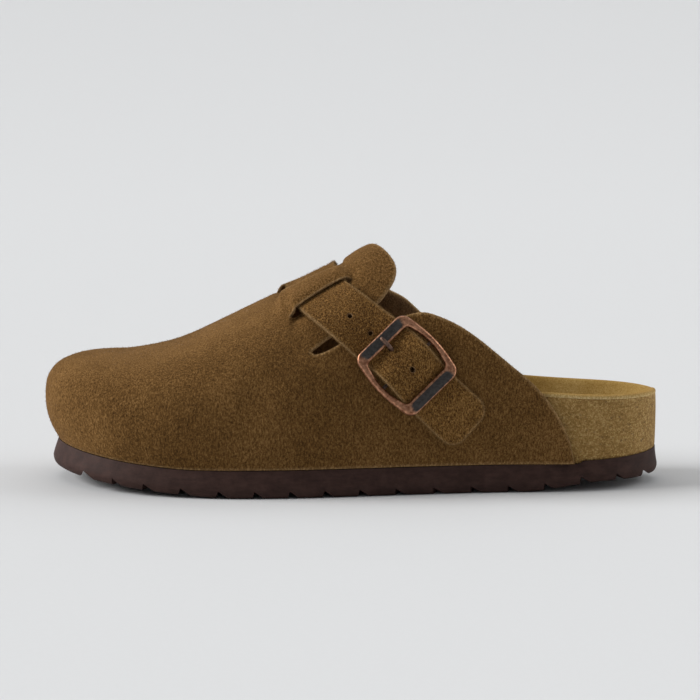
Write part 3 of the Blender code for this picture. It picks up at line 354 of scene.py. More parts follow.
# Camera: place it looks at, distance, height angle and lens
LOOK_AT = (-0.0003, 0.0, 0.061)
CAMERA_DISTANCE = 1.1
CAMERA_HEIGHT = 8.0
CAMERA_LENS = 120.3
# Lights: name, strength, softness and direction it comes from, as azimuth and height
SUNS = [
    ("overhead light", 0.6, 60.0, -165.0, 70.0),
    ("left light", 3.3, 28.0, -88.0, 28.0),
    ("right light", 1.3, 50.0, 100.0, 24.0),
]
ROOM_LIGHT = 0.275
ROOM_COLOUR = (0.97, 0.985, 1.0, 1.0)


def smoothstep(start, end, value):
    """Ease from 0 at start to 1 at end."""
    share = np.clip((np.asarray(value, float) - start) / (end - start), 0.0, 1.0)
    return share * share * (3.0 - 2.0 * share)


def window(value, start, full, fade, end):
    """Ease from 0 at start to 1 at full, and back from fade to end."""
    return smoothstep(start, full, value) * (1.0 - smoothstep(fade, end, value))


def bell(value, width):
    """1 at 0, falling away smoothly to both sides."""
    return np.exp(-(value / width) ** 2)


def round_turn(count):
    """Angles round a full turn."""
    return np.linspace(0.0, 2.0 * math.pi, count, endpoint=False)


def chords(points):
    """Distance along a line of flat points."""
    return np.concatenate([[0.0], np.cumsum(np.hypot(*np.diff(points, axis=0).T))])


def cubic_curve(stations, values):
    """Return the natural cubic spline through values at stations, held flat past its ends."""
    stations = np.asarray(stations, float)
    values = np.asarray(values, float)
    steps = np.diff(stations)
    count = len(stations)
    matrix = np.eye(count)
    right = np.zeros(count)
    for row in range(1, count - 1):
        before, after = steps[row - 1], steps[row]
        matrix[row, row - 1:row + 2] = before, 2.0 * (before + after), after
        rise_after = (values[row + 1] - values[row]) / after
        rise_before = (values[row] - values[row - 1]) / before
        right[row] = 6.0 * (rise_after - rise_before)
    bend = np.linalg.solve(matrix, right)

    def curve(at):
        at = np.clip(np.asarray(at, float), stations[0], stations[-1])
        left = np.clip(np.searchsorted(stations, at, side="right") - 1, 0, count - 2)
        step = steps[left]
        after = at - stations[left]
        before = step - after
        cubic = (bend[left] * before ** 3 + bend[left + 1] * after ** 3) / (6.0 * step)
        first = (values[left] / step - bend[left] * step / 6.0) * before
        second = (values[left + 1] / step - bend[left + 1] * step / 6.0) * after
        return cubic + first + second

    return curve


def closed_curve(points, count):
    """Sample a closed smooth curve through points, starting at the first one."""
    ring = np.array([point[-2:] for point in points], float)
    wrap = 4
    padded = np.concatenate([ring[-wrap:], ring, ring[:wrap + 1]])
    chord = chords(padded)
    start, end = chord[wrap], chord[wrap + len(ring)]
    places = np.linspace(start, end, count, endpoint=False)
    return np.stack([cubic_curve(chord, padded[:, axis])(places) for axis in (0, 1)], axis=1)


def open_curve(points, spacing):
    """Sample a smooth curve through points at about the given spacing."""
    points = np.array(points, float)
    chord = chords(points)
    places = np.linspace(0.0, chord[-1], max(3, round(chord[-1] / spacing) + 1))
    return np.stack([cubic_curve(chord, points[:, axis])(places) for axis in (0, 1)], axis=1)


def inset(curve, distance):
    """Move a closed outline inward by a distance, one value or one for each point."""
    tangent = np.roll(curve, -1, axis=0) - np.roll(curve, 1, axis=0)
    tangent /= np.hypot(*tangent.T)[:, None]
    inward = np.stack([-tangent[:, 1], tangent[:, 0]], axis=1)
    return curve + inward * np.broadcast_to(distance, len(curve))[:, None]


OUTLINE = closed_curve(SOLE_OUTLINE, 1200)


def curl(x, spring, towards):
    """Rise of a line that curls up past a place, towards the toe (-1) or the heel (1)."""
    rise, start, power = spring
    share = np.clip((np.asarray(x, float) - start) / (towards * SOLE_LENGTH / 2.0 - start), 0.0, 2.0)
    return rise * share ** power


def sole_bottom(x):
    """Height of the tread: flat, with the toe spring and the bevel of the heel."""
    height, start, end = HEEL_BEVEL
    return curl(x, TREAD_SPRING, -1.0) + height * smoothstep(start, end, x)


def sole_top(x):
    """Height of the top of the sole, with its step under the bare cork."""
    height, start, end = HEEL_STEP
    step = height * smoothstep(start, end, x)
    return SOLE_THICKNESS + curl(x, TOP_SPRING, -1.0) + curl(x, HEEL_TOP_RISE, 1.0) + step


def footbed_inset(x):
    """How far the cork is in from the widest line of the sole."""
    at_toe, less, start, end = CORK_INSET
    return at_toe - less * smoothstep(start, end, x)


def leather_inset(x):
    """How far the foot of the upper is in from the widest line of the sole."""
    return footbed_inset(x) - LEATHER - GAP


def sides(curve):
    """Split a closed outline into its outer and inner side, both from toe to heel."""
    first = np.roll(curve, -int(np.argmin(curve[:, 0])), axis=0)
    last = int(np.argmax(first[:, 0]))
    outer = first[:last + 1]
    inner = np.concatenate([first[last:], first[:1]])[::-1]
    return outer, inner


def paired_ring(distance, stations):
    """Return an inset of the outline as a ring whose two sides share their x stations."""
    outer, inner = sides(inset(OUTLINE, distance))
    x = outer[0, 0] + (outer[-1, 0] - outer[0, 0]) * stations
    outer_y = np.interp(x, outer[:, 0], outer[:, 1])
    inner_y = np.interp(x, inner[:, 0], inner[:, 1])
    there = np.stack([x, outer_y], axis=1)
    back = np.stack([x, inner_y], axis=1)[-2:0:-1]
    return np.concatenate([there, back])


def cork_ring(extra, stations):
    """A paired ring round the cork, further in than its side by an extra distance."""
    return paired_ring(footbed_inset(OUTLINE[:, 0]) + extra, stations)


def ring_stations(pairs):
    """Shares of the length, closer together at toe and heel."""
    return (1.0 - np.cos(np.linspace(0.0, math.pi, pairs + 1))) / 2.0


def bridge(first, second, size):
    """Quads between two rings of the same size."""
    return [
        (first + i, first + (i + 1) % size, second + (i + 1) % size, second + i)
        for i in range(size)
    ]


def cross_fill(ring, rows, pairs, next_index):
    """Fill a paired ring with rows of points across it.

    Returns the share along and across of each new point, and the faces.
    """
    size = 2 * pairs
    shares = []
    lines = [[ring]]
    for i in range(1, pairs):
        line = [ring + i]
        for j in range(1, rows):
            shares.append((i, j / rows))
            line.append(next_index)
            next_index += 1
        line.append(ring + size - i)
        lines.append(line)
    lines.append([ring + pairs])
    faces = []
    for before, after in zip(lines[:-1], lines[1:]):
        if len(before) == 1:
            faces += [(before[0], after[j], after[j + 1]) for j in range(rows)]
        elif len(after) == 1:
            faces += [(before[j], after[0], before[j + 1]) for j in range(rows)]
        else:
            faces += [(before[j], after[j], after[j + 1], before[j + 1]) for j in range(rows)]
    return shares, faces


def split(faces):
    """Cut faces into triangles that fan out from their first corner."""
    return [(face[0], face[i], face[i + 1]) for face in faces for i in range(1, len(face) - 1)]


def flip(faces):
    """Turn faces over."""
    return [tuple(reversed(face)) for face in faces]


def later(faces, start):
    """The same faces for points that come after others."""
    return [tuple(start + vertex for vertex in face) for face in faces]


def sole_groove_cutter():
    """One mesh with a wavy wedge across the tread for each groove."""
    vertices, faces = [], []
    rows = 97
    places = np.arange(-8, 9) * GROOVE_PITCH + GROOVE_SHIFT
    for middle in places:
        first = len(vertices)
        for i in range(rows):
            y = -60.0 + 120.0 * i / (rows - 1)
            x = middle + GROOVE_WAVE * math.cos(math.pi * i / 12.0)
            low = float(sole_bottom(x))
            for across, up in GROOVE_SHAPE:
                vertices.append((x + across * GROOVE_WIDTH, y, low + up * GROOVE_DEPTH))
        for i in range(rows - 1):
            base = first + 3 * i
            for j in range(3):
                k = (j + 1) % 3
                faces.append((base + j, base + 3 + j, base + 3 + k, base + k))
        faces.append((first, first + 1, first + 2))
        last = first + 3 * (rows - 1)
        faces.append((last + 2, last + 1, last))
    return vertices, faces


def line_distance(x, y, line):
    """Distance from a place to a closed line."""
    ahead = np.roll(line, -1, axis=0) - line
    to_place = np.array([x, y]) - line
    share = np.clip((to_place * ahead).sum(axis=1) / (ahead * ahead).sum(axis=1), 0.0, 1.0)
    return float(np.hypot(*(to_place - share[:, None] * ahead).T).min())


def footbed_rim(ring):
    """Rim height at each point of a paired ring."""
    size = len(ring)
    index = np.arange(size)
    outer = cubic_curve(FOOTBED["x"], FOOTBED["rim_outer"])(ring[:, 0])
    inner = cubic_curve(FOOTBED["x"], FOOTBED["rim_inner"])(ring[:, 0])
    return np.where(index <= size // 2, outer, inner)


def footbed_surface(rows, pairs):
    """Top of the footbed: the rounded rim and the dished floor, as an open surface."""
    stations = ring_stations(pairs)
    size = 2 * pairs
    vertices = []
    for extra, drop in RIM_ROUNDING:
        ring = cork_ring(extra, stations)
        vertices += list(np.column_stack([ring, footbed_rim(ring) - drop]))
    faces = bridge(0, size, size) + bridge(size, 2 * size, size)
    shares, fill = cross_fill(2 * size, rows, pairs, len(vertices))
    floor_curve = cubic_curve(FOOTBED["x"], FOOTBED["floor"])
    reach_curve = cubic_curve(FOOTBED["x"], FOOTBED["reach"])
    rim = np.array(vertices[2 * size:])
    edge_line = inset(OUTLINE, footbed_inset(OUTLINE[:, 0]) + RIM_WIDTH)
    for i, share in shares:
        outer, inner = rim[i], rim[size - i]
        x, y = outer[0], outer[1] + (inner[1] - outer[1]) * share
        away = line_distance(x, y, edge_line)
        lift = max(0.0, 1.0 - away / float(reach_curve(x))) ** DISH_POWER
        edge = outer[2] + (inner[2] - outer[2]) * share
        floor = float(floor_curve(x))
        vertices.append((x, y, floor + (edge - floor) * lift))
    return vertices, split(faces + fill)


class Last:
    """The outer face of the leather as a surface over the flat pattern."""

    def __init__(self):
        self.curves = {key: cubic_curve(LAST["x"], LAST[key]) for key in LAST if key != "x"}
        foot = inset(OUTLINE, leather_inset(OUTLINE[:, 0]))
        self.outer, self.inner = sides(foot)
        self.pole_y = float(self.curves["ridge_y"](TOE_POLE_X))
        angle = np.arctan2(foot[:, 1] - self.pole_y, TOE_POLE_X - foot[:, 0])
        order = np.argsort(angle)
        self.angle = angle[order]
        self.reach = np.hypot(foot[:, 1] - self.pole_y, foot[:, 0] - TOE_POLE_X)[order]

    def sections(self, a, b):
        """Section curve of each pattern point, its girth and its frame."""
        fan = a < 0.0
        x = TOE_POLE_X + np.maximum(a, 0.0) * PATTERN_UNIT
        side = np.where(b < 0.0, -1.0, 1.0)
        turn = np.where(fan, np.arctan2(b, -a), 0.0)
        ridge_y, ridge_z = self.curves["ridge_y"](x), self.curves["ridge_z"](x)
        outer_y = np.interp(x, self.outer[:, 0], self.outer[:, 1])
        inner_y = np.interp(x, self.inner[:, 0], self.inner[:, 1])
        width = np.abs(np.where(side < 0.0, outer_y, inner_y) - ridge_y)
        reach = np.where(fan, np.interp(turn, self.angle, self.reach), width)
        out_x = np.where(fan, -np.cos(turn), 0.0)
        out_y = np.where(fan, np.sin(turn), side)
        front = np.where(fan, np.cos(turn) ** 2, 0.0)
        fullness = np.where(side < 0.0, self.curves["full_outer"](x), self.curves["full_inner"](x))
        fullness = fullness + (TOE_FULLNESS - fullness) * front
        bulge = self.curves["bulge"](x)
        bulge = (bulge + (TOE_BULGE - bulge) * front)[:, None]
        foot_z = sole_top(x + out_x * reach) + GAP
        rise = (ridge_z - foot_z)[:, None]
        reach = reach[:, None]
        low_steps, high_steps = SECTION_STEPS
        low = np.linspace(0.0, 1.0, low_steps)[None, :-1]
        low_r = reach + bulge * (1.0 - (1.0 - low) ** 2)
        low_z = WIDEST_HEIGHT * low * np.ones_like(reach)
        quarter = np.linspace(0.0, math.pi / 2.0, high_steps)[None]
        power = 2.0 / fullness[:, None]
        high_r = (reach + bulge) * np.clip(np.cos(quarter), 0.0, 1.0) ** power
        high_z = WIDEST_HEIGHT + (rise - WIDEST_HEIGHT) * np.sin(quarter) ** power
        r = np.concatenate([low_r, high_r], axis=1)
        z = np.concatenate([low_z, high_z], axis=1)
        along = np.cumsum(np.hypot(np.diff(r, axis=1), np.diff(z, axis=1)), axis=1)
        along = np.concatenate([np.zeros_like(reach), along], axis=1)
        return r, z, along, x, ridge_y, out_x, out_y, foot_z

    def point(self, a, b):
        """Points in space of pattern shares a (along) and b (ridge 0, feet -1 and 1)."""
        a, b = np.asarray(a, float).ravel(), np.asarray(b, float).ravel()
        r, z, along, x, ridge_y, out_x, out_y, foot_z = self.sections(a, b)
        share = 1.0 - np.where(a < 0.0, np.hypot(a, b), np.abs(b))
        wanted = share * along[:, -1]
        index = np.clip((along <= wanted[:, None]).sum(axis=1) - 1, 0, along.shape[1] - 2)
        row = np.arange(len(a))
        step = np.maximum(along[row, index + 1] - along[row, index], 1e-9)
        part = (wanted - along[row, index]) / step
        radius = r[row, index] + part * (r[row, index + 1] - r[row, index])
        height = z[row, index] + part * (z[row, index + 1] - z[row, index])
        return np.stack([x + out_x * radius, ridge_y + out_y * radius, foot_z + height], axis=1)

    def share(self, x, girth):
        """Pattern shares of a place given by x and girth in millimetres."""
        x, girth = np.broadcast_arrays(np.asarray(x, float), np.asarray(girth, float))
        a = (x.ravel() - TOE_POLE_X) / PATTERN_UNIT
        along = self.sections(a, np.where(girth.ravel() < 0.0, -0.5, 0.5))[2]
        return a, girth.ravel() / along[:, -1]

    def place(self, x, girth):
        """Point in space and outward normal at x and girth."""
        step = 0.5
        at = self.point(*self.share(x, girth))
        along = self.point(*self.share(np.asarray(x) + step, girth)) - at
        across = self.point(*self.share(x, np.asarray(girth) + step)) - at
        normal = np.cross(along, across)
        normal /= np.linalg.norm(normal, axis=1)[:, None]
        return at, normal, along / step, across / step


def slit_window(x, line):
    """1 along a slit, easing to 0 at its two ends."""
    start, end = line[0][0], line[-1][0]
    return window(x, start - 1.0, start + SLIT_EASE, end - SLIT_EASE, end + 1.0)


def girth_of(line, x):
    """Girth of a pattern line at x."""
    line = np.array(line)
    return np.interp(x, line[:, 0], line[:, 1])


def slit_places(x, girth):
    """Girth past each slit and past the inner edge, and the share of each slit at x."""
    outer, inner, lip = (girth - girth_of(line, x) for line in (OUTER_SLIT, INNER_SLIT, INNER_EDGE))
    return outer, inner, lip, slit_window(x, OUTER_SLIT), slit_window(x, INNER_SLIT)


def leather_rise(x, girth):
    """How far the strap lifts or presses the leather off the last."""
    outer, inner, lip, in_outer, in_inner = slit_places(x, girth)
    band = (outer > 0.0) & (inner < 0.0)
    across = np.clip(outer / np.maximum(outer - inner, 1e-6), 0.0, 1.0)
    loop = np.where(band, LOOP_RISE * (in_outer * (1.0 - across) + in_inner * across), 0.0)
    behind_x = (x - STRAP_REAR[0]) * STRAP_REAR_NORMAL[0]
    behind_strap = behind_x + (girth - STRAP_REAR[1]) * STRAP_REAR_NORMAL[1]
    tongue = TONGUE_RISE * smoothstep(0.0, TONGUE_EASE, behind_strap)
    tongue = tongue * smoothstep(-8.0, 4.0, x) * (1.0 - 0.4 * smoothstep(8.0, 18.0, x))
    tongue = tongue * bell(girth - TONGUE_MIDDLE, TONGUE_SPREAD)
    tongue = np.where((x < TONGUE_END[0]) & (girth < TONGUE_END[1]), tongue, 0.0)
    loop = np.maximum(loop, tongue)
    outer_drop = -LIP_DROP * in_outer * bell(outer, LIP_REACH[0])
    outer_lip = np.where(outer <= 0.0, outer_drop, 0.0)
    pressed = window(x, *PRESSED_RUN)
    pressed *= PRESSED_DROP * smoothstep(0.0, 5.0, inner) * bell(inner, PRESSED_REACH)
    inner_drop = -np.maximum(LIP_DROP * in_inner * bell(inner, LIP_REACH[1]), pressed)
    inner_lip = np.where((inner >= 0.0) & (lip < -LIP_EDGE), inner_drop, 0.0)
    run = window(x, *QUARTER_LIP_RUN)
    lip_rise = QUARTER_LIP_RISE * run * bell(np.maximum(lip, 0.0), QUARTER_LIP_REACH)
    quarter = np.where(lip > -LIP_EDGE, lip_rise, 0.0)
    return loop + outer_lip + inner_lip + quarter


def slit_loop(last, line, spacing):
    """Closed thin outline of a slit in pattern shares."""
    middle = open_curve(line, spacing)
    share = np.linspace(-1.0, 1.0, len(middle))
    taper = SLIT_WIDTH / 2.0 * np.sqrt(np.clip(1.0 - share ** 8, 0.0, 1.0))
    there = np.column_stack([middle[:, 0], middle[:, 1] + taper])
    back = np.column_stack([middle[:, 0], middle[:, 1] - taper])[-2:0:-1]
    x, girth = np.concatenate([there, back]).T
    return np.stack(last.share(x, girth), axis=1)


def inside(points, loop):
    """Which points are inside a closed loop."""
    result = np.zeros(len(points), bool)
    ahead = np.roll(loop, -1, axis=0)
    for (x0, y0), (x1, y1) in zip(loop, ahead):
        if y0 == y1:
            continue
        crosses = (points[:, 1] < y0) != (points[:, 1] < y1)
        at = x0 + (points[:, 1] - y0) * (x1 - x0) / (y1 - y0)
        result ^= crosses & (points[:, 0] < at)
    return result


def nearest(points, others):
    """Distance from each point to the nearest of the others."""
    tree = KDTree(len(others))
    for i, other in enumerate(others):
        tree.insert(other, i)
    tree.balance()
    return np.array([tree.find(point)[2] for point in points])


def near(points, loop, distance):
    """Which flat points lie closer to a loop's corners than a distance."""
    points, loop = (np.column_stack([flat, np.zeros(len(flat))]) for flat in (points, loop))
    return nearest(points, loop) < distance


def fill_loops(loops, free):
    """Triangles between an outer loop and the holes in it, through free points."""
    points = np.concatenate(loops + [free])
    edges, start = [], 0
    for loop in loops:
        size = len(loop)
        edges += [(start + i, start + (i + 1) % size) for i in range(size)]
        start += size
    result = delaunay_2d_cdt([Vector(point) for point in points.tolist()], edges, [], 0, 1e-7)
    flat = np.array([tuple(point) for point in result[0]])
    triangles = np.array([tuple(face) for face in result[2]])
    middle = flat[triangles].mean(axis=1)
    wanted = inside(middle, loops[0])
    for loop in loops[1:]:
        wanted &= ~inside(middle, loop)
    used, triangles = np.unique(triangles[wanted], return_inverse=True)
    return flat[used], [tuple(face) for face in triangles.reshape(-1, 3).tolist()]


def upper_pattern(last, spacing):
    """Triangles of the flat pattern, in shares, within its edges and around its slits."""
    edges = [open_curve(line, spacing * 0.7) for line in (OUTER_EDGE, INNER_EDGE, TONGUE_EDGE)]
    outer, inner, tongue = (np.stack(last.share(*edge.T), axis=1) for edge in edges)
    end = (QUARTER_END_X - TOE_POLE_X) / PATTERN_UNIT
    run = np.linspace(end, 0.0, round((QUARTER_END_X - TOE_POLE_X) / spacing) + 1)
    turn = np.linspace(-math.pi / 2.0, math.pi / 2.0, round(TOE_ARC / spacing) + 1)[1:-1]
    toe = np.stack([-np.cos(turn), np.sin(turn)], axis=1)
    outer_foot = np.stack([run, -np.ones_like(run)], axis=1)
    inner_foot = np.stack([run[::-1], np.ones_like(run)], axis=1)
    boundary = np.concatenate([outer_foot, toe, inner_foot, inner[::-1], tongue[::-1], outer])
    slits = [slit_loop(last, line, spacing * 0.5) for line in (OUTER_SLIT, INNER_SLIT)]
    loops = [boundary] + slits

    step = spacing / PATTERN_UNIT
    rows = round(PATTERN_SIDE / spacing)
    columns = np.arange(step / 2.0, end, step)
    body = np.array([(a, b) for a in columns for b in np.linspace(-1.0, 1.0, 2 * rows + 1)[1:-1]])
    (front, rear), (low, high) = THROAT
    fine_columns = np.arange(front, rear, step / 2.0)
    fine_rows = np.arange(low, high, 0.5 / rows)
    throat = np.array([(a, b) for a in fine_columns for b in fine_rows])
    beside = (body[:, 0] < front) | (body[:, 0] > rear)
    beside |= (body[:, 1] < low) | (body[:, 1] > high)
    body = np.concatenate([body[beside], throat])
    fan = [(-1e-4, 0.0)]
    rings = round(FAN_REACH / spacing)
    for ring in range(1, rings):
        radius = ring / rings
        spokes = max(4, round(radius * FAN_ARC / spacing))
        for angle in np.linspace(-math.pi / 2.0, math.pi / 2.0, spokes + 1):
            fan.append((-radius * math.cos(angle) - 1e-4, radius * math.sin(angle)))
    free = np.concatenate([body, np.array(fan)])
    free = free[inside(free, boundary)]
    for loop in loops:
        free = free[~near(free, loop, 0.3 * step)]
    for loop in slits:
        free = free[~inside(free, loop)]

    return fill_loops(loops, free)


def upper_surface(last, spacing):
    """The outer face of the upper in space, lifted where the strap runs."""
    flat, faces = upper_pattern(last, spacing)
    surface = last.point(flat[:, 0], flat[:, 1])
    behind = flat[:, 0] >= 0.0
    x = TOE_POLE_X + np.maximum(flat[:, 0], 0.0) * PATTERN_UNIT
    along = last.sections(flat[:, 0], flat[:, 1])[2][:, -1]
    girth = flat[:, 1] * along
    normal = last.place(x[behind], girth[behind])[1]
    surface[behind] += normal * leather_rise(x[behind], girth[behind])[:, None]
    return surface, faces, (x, girth)


class Strap:
    """The strap's middle line over the pattern, and places across and along it."""

    def __init__(self, last):
        self.last = last
        table = np.array([row[1:] for row in STRAP], float)
        at = last.place(table[:, 0], table[:, 1])[0]
        chord = np.concatenate([[0.0], np.cumsum(np.linalg.norm(np.diff(at, axis=0), axis=1))])
        self.curves = [cubic_curve(chord, table[:, column]) for column in range(3)]
        self.length = chord[-1]
        self.stations = dict(zip([row[0] for row in STRAP], chord))

    def place(self, along, across):
        """Point on the leather, outward normal and lift at a distance along and across."""
        along = np.asarray(along, float)
        x, girth, lift = (curve(along) for curve in self.curves)
        step = 0.5
        ahead = np.minimum(along + step, self.length)
        behind = np.maximum(along - step, 0.0)
        by_along = self.curves[:2]
        rate_x, rate_g = ((curve(ahead) - curve(behind)) / (ahead - behind) for curve in by_along)
        _, normal, by_x, by_g = self.last.place(x, girth)
        forward = by_x * rate_x[:, None] + by_g * rate_g[:, None]
        forward /= np.linalg.norm(forward, axis=1)[:, None]
        sideways = np.cross(normal, forward)
        xx, xg, gg = ((p * q).sum(axis=1) for p, q in ((by_x, by_x), (by_x, by_g), (by_g, by_g)))
        sx, sg = (by_x * sideways).sum(axis=1), (by_g * sideways).sum(axis=1)
        area = xx * gg - xg * xg
        across_x = (sx * gg - sg * xg) / area
        across_g = (sg * xx - sx * xg) / area
        point, normal, _, _ = self.last.place(x + across * across_x, girth + across * across_g)
        return point, normal, forward, lift


def strap_station(strap, place, along):
    """Distance along the strap at which it passes a place along the buckle."""
    ends = (strap.stations[name] for name in ("before the buckle", "behind the buckle"))
    stations = np.linspace(*ends, 60)
    point, normal, _, lift = strap.place(stations, np.zeros(60))
    passed = (point + normal * lift[:, None] - place.base) @ place.along
    return float(np.interp(along, passed, stations))


class BucklePlace:
    """A flat frame over the strap: along it, across it and away from the leather."""

    def __init__(self, strap):
        front = strap.stations["under the front bar"]
        rear = strap.stations["under the rear bar"]
        places = np.array([front, (front + rear) / 2.0, rear])
        point, normal, _, lift = strap.place(places, np.zeros(3))
        top = point + normal * (lift + STRAP_LEATHER + GAP)[:, None]
        along = top[2] - top[0]
        along /= np.linalg.norm(along)
        out = normal[1] - along * (normal[1] @ along)
        out /= np.linalg.norm(out)
        self.along, self.out = along, out
        self.across = np.cross(out, along)
        self.base = (top[0] + top[2]) / 2.0
        self.leather = float((point[1] - self.base) @ out)

    def at(self, along, across, out):
        """Point in space of a place in the buckle's own frame."""
        return self.base + self.along * along + self.across * across + self.out * out


def buckle_outline(length, width, bow, corner, count, side_steps):
    """Rounded rectangle with bowed long sides, as along and across."""
    points = []
    for quadrant in range(4):
        sign_u = 1.0 if quadrant in (0, 3) else -1.0
        sign_v = 1.0 if quadrant in (0, 1) else -1.0
        for i in range(count):
            share = i / (count - 1)
            angle = share * math.pi / 2.0
            if quadrant in (1, 3):
                angle = math.pi / 2.0 - angle
            u = length / 2.0 - corner + corner * math.cos(angle)
            v = width / 2.0 - corner + corner * math.sin(angle)
            points.append([sign_u * u, sign_v * v])
    points = np.array(points)
    result = []
    for first, second in zip(points, np.roll(points, -1, axis=0)):
        result.append(first)
        steps = side_steps if np.hypot(*(second - first)) > 3.0 * corner else 1
        for i in range(1, steps):
            result.append(first + (second - first) * i / steps)
    result = np.array(result)
    swell = np.cos(np.clip(result[:, 0] / length, -0.5, 0.5) * math.pi)
    result[:, 1] += np.sign(result[:, 1]) * bow * swell
    return result


def collar_solid(place, outer, inner, half, count):
    """A short ring round the hinge bar."""
    vertices, faces = [], []
    for radius, v in ((outer, -half), (outer, half), (inner, half), (inner, -half)):
        for angle in round_turn(count):
            out = HINGE_HEIGHT + radius * math.sin(angle)
            vertices.append(place.at(radius * math.cos(angle), v, out))
    for level in range(4):
        faces += bridge(level * count, ((level + 1) % 4) * count, count)
    return vertices, faces


def tube(start, end, radius, count):
    """A straight round bar."""
    axis = (end - start) / np.linalg.norm(end - start)
    side = np.cross(axis, [0.0, 0.0, 1.0])
    side /= np.linalg.norm(side)
    up = np.cross(side, axis)
    profile = [(radius * math.cos(angle), radius * math.sin(angle)) for angle in round_turn(count)]
    vertices = [centre + side * p + up * q for centre in (start, end) for p, q in profile]
    ends = [tuple(range(count - 1, -1, -1)), tuple(range(count, 2 * count))]
    return vertices, bridge(0, count, count) + ends


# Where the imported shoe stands: the shift from the drawing to the frame
FRAME_LOW, FRAME_HIGH = (np.array(corner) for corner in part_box("outsole"))
SHIFT = np.array([
    (FRAME_LOW[0] + FRAME_HIGH[0]) / 2.0 - MM * (OUTLINE[:, 0].min() + OUTLINE[:, 0].max()) / 2.0,
    (FRAME_LOW[1] + FRAME_HIGH[1]) / 2.0 - MM * (OUTLINE[:, 1].min() + OUTLINE[:, 1].max()) / 2.0,
    0.0,
])


def put(name, data):
    """Put a mesh, a light or a camera in the scene."""
    body = bpy.data.objects.new(name, data)
    bpy.context.scene.collection.objects.link(body)
    return body


def carry(mesh, mark, values):
    """Write a value at each point of a mesh, under a name."""
    layer = mesh.attributes.new(mark, "FLOAT", "POINT")
    layer.data.foreach_set("value", np.asarray(values, np.float32))


def settle(body):
    """Turn a body's modifiers into its mesh."""
    graph = bpy.context.evaluated_depsgraph_get()
    body.data = bpy.data.meshes.new_from_object(body.evaluated_get(graph))
    body.modifiers.clear()


def add_piece(name, vertices, faces, finishes, kinds=None, marks=None):
    """Add a piece from points in millimetres, with a finish for each kind of face."""
    mesh = bpy.data.meshes.new(name)
    mesh.from_pydata((np.asarray(vertices, float) * MM + SHIFT).tolist(), [], faces)
    for material in finishes:
        mesh.materials.append(material)
    if kinds is not None:
        mesh.polygons.foreach_set("material_index", np.asarray(kinds, np.int32))
    mesh.polygons.foreach_set("use_smooth", [True] * len(mesh.polygons))
    for mark, values in (marks or {}).items():
        carry(mesh, mark, values)
    work = bmesh.new()
    work.from_mesh(mesh)
    bmesh.ops.recalc_face_normals(work, faces=work.faces)
    work.to_mesh(mesh)
    work.free()
    return put(name, mesh)


def keep(piece, node, sharp=None):
    """Hide the solid a piece stands in for, hang the piece on the root, and keep its edges crisp over
    an angle.
    """
    if sharp is not None:
        piece.data.set_sharp_from_angle(angle=math.radians(sharp))
    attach(piece, "root")
    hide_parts(node)


def sheet_normals(vertices, faces):
    """Unit normals of an open surface."""
    corners = np.array([face[:3] for face in faces])
    first, second, third = (vertices[corners[:, i]] for i in range(3))
    area = np.cross(second - first, third - first)
    normals = np.zeros_like(vertices)
    for i in range(3):
        np.add.at(normals, corners[:, i], area)
    return normals / np.linalg.norm(normals, axis=1)[:, None]


def open_edges(faces):
    """Edges with a face on one side only, in the direction in which that face runs."""
    edges = set()
    for face in faces:
        edges.update((vertex, face[(i + 1) % len(face)]) for i, vertex in enumerate(face))
    return [edge for edge in edges if (edge[1], edge[0]) not in edges]


def cut_leather(surface, faces, thickness, roll):
    """A closed sheet under an open surface, with its cut edges a little rounded.

    Returns the points, the faces, the kind of each face (0 outer, 1 flesh side, 2 cut edge)
    and how near each point is to a cut edge, from 0 to 1.
    """
    surface = np.asarray(surface, float)
    normals = sheet_normals(surface, faces)
    count = len(surface)
    rim_edges = open_edges(faces)
    rim = sorted({vertex for edge in rim_edges for vertex in edge})
    place = {vertex: i for i, vertex in enumerate(rim)}
    tangent = np.zeros((len(rim), 3))
    for start, end in rim_edges:
        run = surface[end] - surface[start]
        tangent[place[start]] += run
        tangent[place[end]] += run
    outward = np.cross(tangent, normals[rim])
    outward /= np.maximum(np.linalg.norm(outward, axis=1), 1e-9)[:, None]
    thickness = np.broadcast_to(thickness, count)[:, None]
    points = [surface, surface - normals * thickness]
    for depth, push in EDGE_ROUNDING:
        points.append(surface[rim] - normals[rim] * thickness[rim] * depth + outward * roll * push)
    skin = [tuple(face) for face in faces]
    kind = [0] * len(faces) + [1] * len(faces)
    skin += [tuple(vertex + count for vertex in reversed(face)) for face in faces]
    starts = [2 * count + level * len(rim) for level in range(len(EDGE_ROUNDING))]
    for start, end in rim_edges:
        near_row = (start, end)
        for first in starts:
            far_row = (first + place[start], first + place[end])
            skin.append((near_row[1], near_row[0], far_row[0], far_row[1]))
            near_row = far_row
        skin.append((near_row[1], near_row[0], start + count, end + count))
    kind += [2] * (len(skin) - len(kind))
    close = np.exp(-nearest(surface, surface[rim]) / EDGE_REACH)
    close = np.concatenate([close, close] + [np.ones(len(rim))] * len(EDGE_ROUNDING))
    return np.concatenate(points), skin, kind, close


def ripple(points, height, size, seed):
    """Soft noise between minus and plus a height, at points in millimetres."""
    shift = Vector((seed * 17.3, seed * 5.1, seed * 9.7))
    return height * np.array([noise.noise(Vector(point) / size + shift) for point in points])


def relief(points):
    """Height of the soft folds and hollows of the worn-in leather."""
    height = np.zeros(len(points))
    for _, side, start, end, width, rise in SOFT_RELIEF:
        start, end = np.array(start, float), np.array(end, float)
        run = end - start
        flat = points[:, (0, 2)] - start
        share = np.clip(flat @ run / (run @ run), 0.0, 1.0)
        away = np.hypot(*(flat - share[:, None] * run).T)
        on_side = smoothstep(-6.0, 6.0, side * (points[:, 1] - RELIEF_MIDDLE))
        height += rise * on_side * bell(away, width)
    return height


